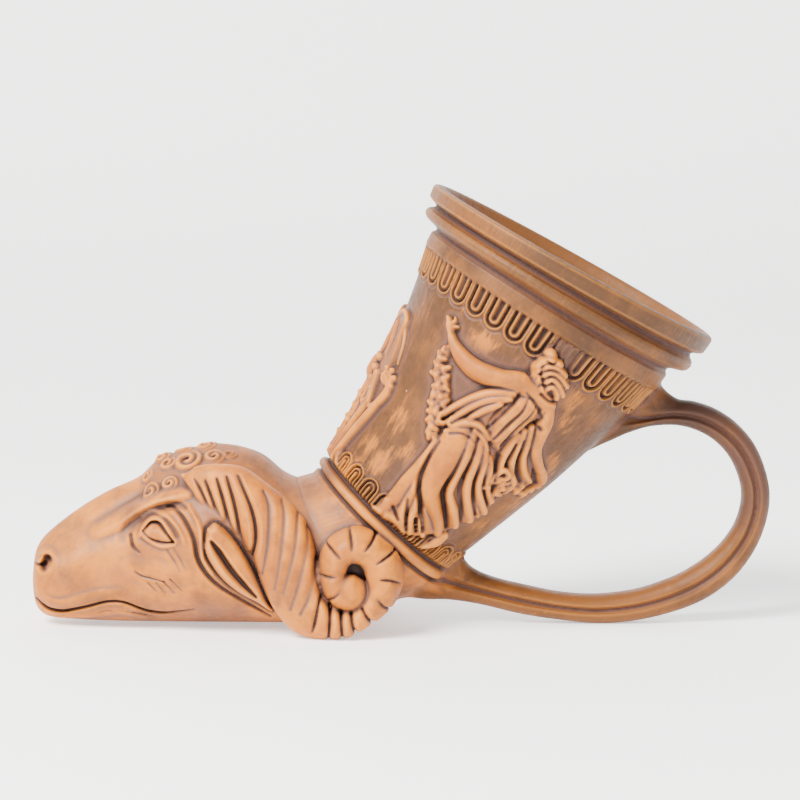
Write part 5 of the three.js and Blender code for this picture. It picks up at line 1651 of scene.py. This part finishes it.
def washed_and_shaded(n, s, base, depth, brown_ware):
    """Clay with the dark wash and painted shade in its cuts: dusty at their edges, then mauve, and dark
    at the bottom.
    """
    dusty = n.times(n.ramp(depth, 0.05, -0.08), n.ramp(brown_ware, 0.0, 1.0, 0.9, 0.3))
    base = n.mix(dusty, base, DUSTY_WASH_AND_SHADE)
    base = n.mix(n.times(n.ramp(depth, -0.03, -0.24), 0.9), base, MAUVE_WASH_AND_SHADE)
    # Dark at the bottom of the cuts, as dark wash with painted shade; the upper handle root and the
    # coil's pit are painted dark as shade too
    wash_and_shade = n.ramp(depth, -0.18, -0.55)
    dark = n.math("MAXIMUM", wash_and_shade, n.layer("stain"))
    return n.mix(n.times(dark, s.wash_and_shade), base, DARK_WASH_AND_SHADE), wash_and_shade


def specked(n, place, base):
    """Clay with a few white specks."""
    speck = n.add("ShaderNodeTexVoronoi", {"Vector": place, "Scale": 260.0}, output="Distance")
    rare = n.ramp(n.noise(place, 120.0, 2.0), 0.66, 0.72)
    return n.mix(n.times(n.ramp(speck, 0.09, 0.05), rare), base, WHITE_SPECK)


def grain_relief(n, place, grain, hatch):
    """Grain, turning marks on the mouldings and small dents."""
    dents = n.noise(place, 150.0, 3.0, 0.5)
    relief = n.math("ADD", n.times(grain, 0.35), n.times(hatch, n.layer("mouth")))
    relief = n.math("ADD", relief, n.times(dents, 1.2))
    return n.add("ShaderNodeBump", {"Height": relief, "Strength": 0.35, "Distance": 0.0006})


def terracotta(s):
    """Fired clay with a dark wash and painted shade in its hollows, and rubbed crests."""
    n = Nodes("terracotta")
    place = n.add("ShaderNodeTexCoord", output="Object")
    grain = n.noise(place, 420.0, 6.0, 0.7)
    mottle = n.noise(place, 36.0, 6.0, 0.65)
    hatch = n.noise(along_cup(n, place, 0.006, 0.0007), 1.0, 3.0, 0.6)
    fine = n.layer("fine")
    base, brown_ware = bare_clay(n, place, mottle)
    crest = n.times(n.ramp(fine, 0.14, 0.40), n.ramp(brown_ware, 0.2, 1.0, 0.6, 0.3))
    base = n.mix(crest, base, RUBBED_CLAY)
    lines = n.times(n.ramp(hatch, 0.50, 0.66), n.times(n.layer("mouth"), 0.4))
    base = n.mix(lines, base, BROWN_CLAY)
    # Mauve painted shade over the broad hollows, the nape, the curls and the shaded patches
    base = n.mix(mauve_shade_share(n, mottle, fine), base, MAUVE_WASH_AND_SHADE)
    # Dark wash with painted shade in the cuts
    depth = n.math("ADD", fine, n.times(n.math("SUBTRACT", grain, 0.5), 0.14))
    base, wash_and_shade = washed_and_shaded(n, s, base, depth, brown_ware)
    base = n.mix(n.times(n.layer("inside"), 0.6), base, RUST_CLAY)
    base = specked(n, place, base)
    inputs = {
        "Base Color": base,
        "Roughness": n.ramp(n.math("ADD", grain, n.times(wash_and_shade, 0.3)), 0.3, 0.9, 0.46, 0.68),
        "Normal": grain_relief(n, place, grain, hatch),
        "Specular IOR Level": 0.24,
    }
    n.add("ShaderNodeOutputMaterial", {"Surface": n.add("ShaderNodeBsdfPrincipled", inputs)})
    return n.material


def plain_material(name, colour, roughness):
    """Even matt paint for the table."""
    n = Nodes(name)
    paint = (*colour, 1.0)
    inputs = {
        "Base Color": paint,
        "Roughness": roughness,
        "Emission Color": paint,
        "Emission Strength": TABLE_GLOW,
    }
    n.add("ShaderNodeOutputMaterial", {"Surface": n.add("ShaderNodeBsdfPrincipled", inputs)})
    return n.material


def shown(name, mesh):
    """Object in the scene for a mesh."""
    piece = bpy.data.objects.new(name, mesh)
    bpy.context.scene.collection.objects.link(piece)
    return piece


def sculpt(s):
    """Sculpts the vessel and returns the finished slices of its skin."""
    facets = FINE_FACETS
    space = Space(s.cell * (1.0))
    chart = ornament(s)
    add_cup(s, space, chart)
    add_head(s, space, facets["head"])
    add_horns(s, space, facets["horn"])
    add_handle(s, space, facets["handle"])
    maps = hollows_map(space)
    add_hollow(s, space)
    skin = thinned(skin_mesh(space), s.triangles * s.slices)
    pieces = []
    for number, mesh in enumerate(slices_of(skin, s.slices), start=1):
        places = vertex_places(mesh)
        mark_wear_and_shade(s, mesh, space, chart, maps, places)
        set_normals(mesh, space, places)
        pieces.append(shown(f"rhyton_skin_{number}", mesh))
    return pieces


# Settings

def length(name, text, default):
    """A length in metres."""
    return bpy.props.FloatProperty(
        name=name, description=text, default=default, min=0.0, unit="LENGTH", precision=5
    )


def whole(name, text, default, least):
    """A whole number."""
    return bpy.props.IntProperty(name=name, description=text, default=default, min=least)


def lamp_power(name, text, default):
    """Power of a lamp."""
    return bpy.props.FloatProperty(name=name, description=text, default=default, min=0.0, unit="POWER")


class VesselSettings(bpy.types.PropertyGroup):
    """Sizes and finish of the vessel."""

    cup_length: length("Cup length", "Along the cup's middle line, neck ring to lip", 0.1034)
    moulding_height: length("Moulding height", "From the lowest moulding to the lip", 0.0188)
    wall: length("Wall", "Thickness of the wall", 0.0045)
    tongue_length: length("Tongue length", "Length of the tongues under the mouldings", 0.0096)
    tongue_rise: length("Tongue rise", "How far the tongues stand out", 0.0009)
    bud_length: length("Bud length", "Length of the arcs over the neck ring", 0.0070)
    bud_rise: length("Bud rise", "How far those arcs stand out", 0.0010)
    head_length: length("Head length", "From the muzzle to the back of the crown", 0.096)
    head_height: length("Head height", "From the table to the crown", 0.059)
    head_width: length("Head width", "Across the cheeks", 0.062)
    ear_rise: length("Ear rise", "How far the ears stand out", 0.0042)
    handle_width: length("Handle width", "Across the handle's two ribs", 0.012)
    handle_groove: length("Handle groove", "Depth of the groove along the handle's sides", 0.0019)
    cell: length("Cell", "Fineness of the sculpting cells", 0.0004)
    tongue_count: whole("Tongues", "Tongues round the cup", 34, 8)
    bud_count: whole("Buds", "Arcs round the neck", 24, 6)
    slices: whole("Slices", "Slices of the skin along the vessel", 5, 1)
    triangles: whole("Triangles", "Most triangles in a slice", 186000, 1000)
    # Strength of the dark wash together with the painted shade in the cuts
    wash_and_shade: bpy.props.FloatProperty(
        name="Wash",
        description="Strength of the dark wash",
        default=0.9,
        min=0.0,
        max=1.0,
        subtype="FACTOR",
    )

    def measures(self):
        """The same values with every length in millimetres."""
        values = {}
        for name, prop in self.bl_rna.properties.items():
            if name in ("rna_type", "name"):
                continue
            value = getattr(self, name)
            values[name] = value / MILLIMETRE if prop.unit == "LENGTH" else value
        return type("Measures", (), values)


class StageSettings(bpy.types.PropertyGroup):
    """The table, the light and the camera."""

    distance: length("Distance", "From the camera to the vessel's middle plane", 1.10)
    height: length("Height", "Camera height over the table", 0.1995)
    lens: bpy.props.FloatProperty(name="Lens", description="Focal length", default=154.0, unit="CAMERA")
    tilt: bpy.props.FloatProperty(
        name="Tilt",
        description="How far the camera looks down",
        default=math.radians(6.57),
        subtype="ANGLE",
    )
    key: lamp_power("Key light", "Power of the large light", 98.0)
    fill: lamp_power("Fill light", "Power of the fill light", 9.0)
    sky: bpy.props.FloatProperty(
        name="Room light",
        description="Strength of the light all round",
        default=0.85,
        min=0.0,
        subtype="FACTOR",
    )


class RHYTON_OT_vessel(bpy.types.Operator):
    """Sculpt the rhyton: its cup, ram's head, horns and handle, fired as one piece"""

    bl_idname = "rhyton.vessel"
    bl_label = "Sculpt the vessel"
    bl_options = {"REGISTER", "UNDO"}

    def execute(self, context):
        s = context.scene.rhyton_vessel.measures()
        clay = terracotta(s)
        for piece in sculpt(s):
            piece.data.materials.append(clay)
            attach(piece, "root")
            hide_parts("rhyton")
        return {"FINISHED"}


# Table in metres: its front edge, half width, where it turns up into the wall, that turn's radius
# and steps, and the wall's top
TABLE_FRONT = -2.2
TABLE_HALF = 3.0
TURN_START = 0.98
TURN_RADIUS = 0.12
TURN_STEPS = 12
WALL_TOP = 2.6


def sweep_mesh():
    """Table that curves up into a wall behind it."""
    line = [(TABLE_FRONT, 0.0), (TURN_START, 0.0)]
    for i in range(1, TURN_STEPS + 1):
        turn = math.radians(90 * i / TURN_STEPS)
        y = TURN_START + TURN_RADIUS * math.sin(turn)
        line.append((y, TURN_RADIUS - TURN_RADIUS * math.cos(turn)))
    line.append((TURN_START + TURN_RADIUS, WALL_TOP))
    points = [(x, y, z) for y, z in line for x in (-TABLE_HALF, TABLE_HALF)]
    faces = [(2 * i, 2 * i + 1, 2 * i + 3, 2 * i + 2) for i in range(len(line) - 1)]
    mesh = bpy.data.meshes.new("table")
    mesh.from_pydata(points, [], faces)
    for face in mesh.polygons:
        face.use_smooth = True
    return mesh


# Paint of the table, and the lamps in metres: where they stand, how wide they are, their tones
TABLE_PAINT = (0.92, 0.92, 0.92)
TABLE_ROUGHNESS = 0.6
TABLE_GLOW = 0.7
KEY_PLACE = (-0.75, -0.85, 1.15)
KEY_SIZE = 0.9
KEY_TONE = (1.0, 0.98, 0.95)
FILL_PLACE = (0.9, -1.1, 0.5)
FILL_SIZE = 1.2
FILL_TONE = (1.0, 1.0, 1.0)
AIM = (0.0, 0.0, 0.05)
ROOM_TONE = (1.0, 0.99, 0.97, 1.0)


def soft_light(name, place, size, watts, tone):
    """Large soft lamp aimed at the vessel."""
    lamp = bpy.data.lights.new(name, "AREA")
    lamp.shape = "DISK"
    lamp.size = size
    lamp.energy = watts
    lamp.color = tone
    holder = bpy.data.objects.new(name, lamp)
    bpy.context.scene.collection.objects.link(holder)
    holder.location = place
    toward = Vector(AIM) - Vector(place)
    holder.rotation_euler = toward.to_track_quat("-Z", "Y").to_euler()


def room(strength):
    """Even pale light all round."""
    world = bpy.data.worlds.new("room")
    world.use_nodes = True
    back = world.node_tree.nodes["Background"]
    back.inputs["Color"].default_value = ROOM_TONE
    back.inputs["Strength"].default_value = strength
    bpy.context.scene.world = world


class RHYTON_OT_stage(bpy.types.Operator):
    """Set the pale table, the soft lights and the camera"""

    bl_idname = "rhyton.stage"
    bl_label = "Set the stage"
    bl_options = {"REGISTER", "UNDO"}

    def execute(self, context):
        s = context.scene.rhyton_stage
        table = shown("table", sweep_mesh())
        table.data.materials.append(plain_material("table_paint", TABLE_PAINT, TABLE_ROUGHNESS))
        table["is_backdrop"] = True
        soft_light("key", KEY_PLACE, KEY_SIZE, s.key, KEY_TONE)
        soft_light("fill", FILL_PLACE, FILL_SIZE, s.fill, FILL_TONE)
        room(s.sky)
        camera = bpy.data.cameras.new("camera")
        camera.lens = s.lens
        camera.clip_start = 0.05
        holder = bpy.data.objects.new("camera", camera)
        context.scene.collection.objects.link(holder)
        holder.location = (0.0, -s.distance, s.height)
        holder.rotation_euler = (math.pi / 2 - s.tilt, 0.0, 0.0)
        context.scene.camera = holder
        return {"FINISHED"}


class RHYTON_PT_panel(bpy.types.Panel):
    """Sizes and steps of the rhyton"""

    bl_idname = "RHYTON_PT_panel"
    bl_label = "Rhyton"
    bl_space_type = "VIEW_3D"
    bl_region_type = "UI"
    bl_category = "Rhyton"

    def draw(self, context):
        scene = context.scene
        steps = ((scene.rhyton_vessel, "rhyton.vessel"), (scene.rhyton_stage, "rhyton.stage"))
        for settings, operator in steps:
            box = self.layout.box()
            for name in settings.__annotations__:
                box.prop(settings, name)
            box.operator(operator)


CLASSES = (VesselSettings, StageSettings, RHYTON_OT_vessel, RHYTON_OT_stage, RHYTON_PT_panel)


def register():
    for item in CLASSES:
        bpy.utils.register_class(item)
    bpy.types.Scene.rhyton_vessel = bpy.props.PointerProperty(type=VesselSettings)
    bpy.types.Scene.rhyton_stage = bpy.props.PointerProperty(type=StageSettings)


def unregister():
    del bpy.types.Scene.rhyton_stage
    del bpy.types.Scene.rhyton_vessel
    for item in reversed(CLASSES):
        bpy.utils.unregister_class(item)


def corners():
    """Lowest and highest corner of what is shown, as plain lists."""
    return [list(corner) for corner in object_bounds()]


def main():
    register()
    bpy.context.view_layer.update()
    for step in (bpy.ops.rhyton.vessel, bpy.ops.rhyton.stage):
        if step() != {"FINISHED"}:
            raise RuntimeError("a step did not finish")


if __name__ == "__main__":
    main()
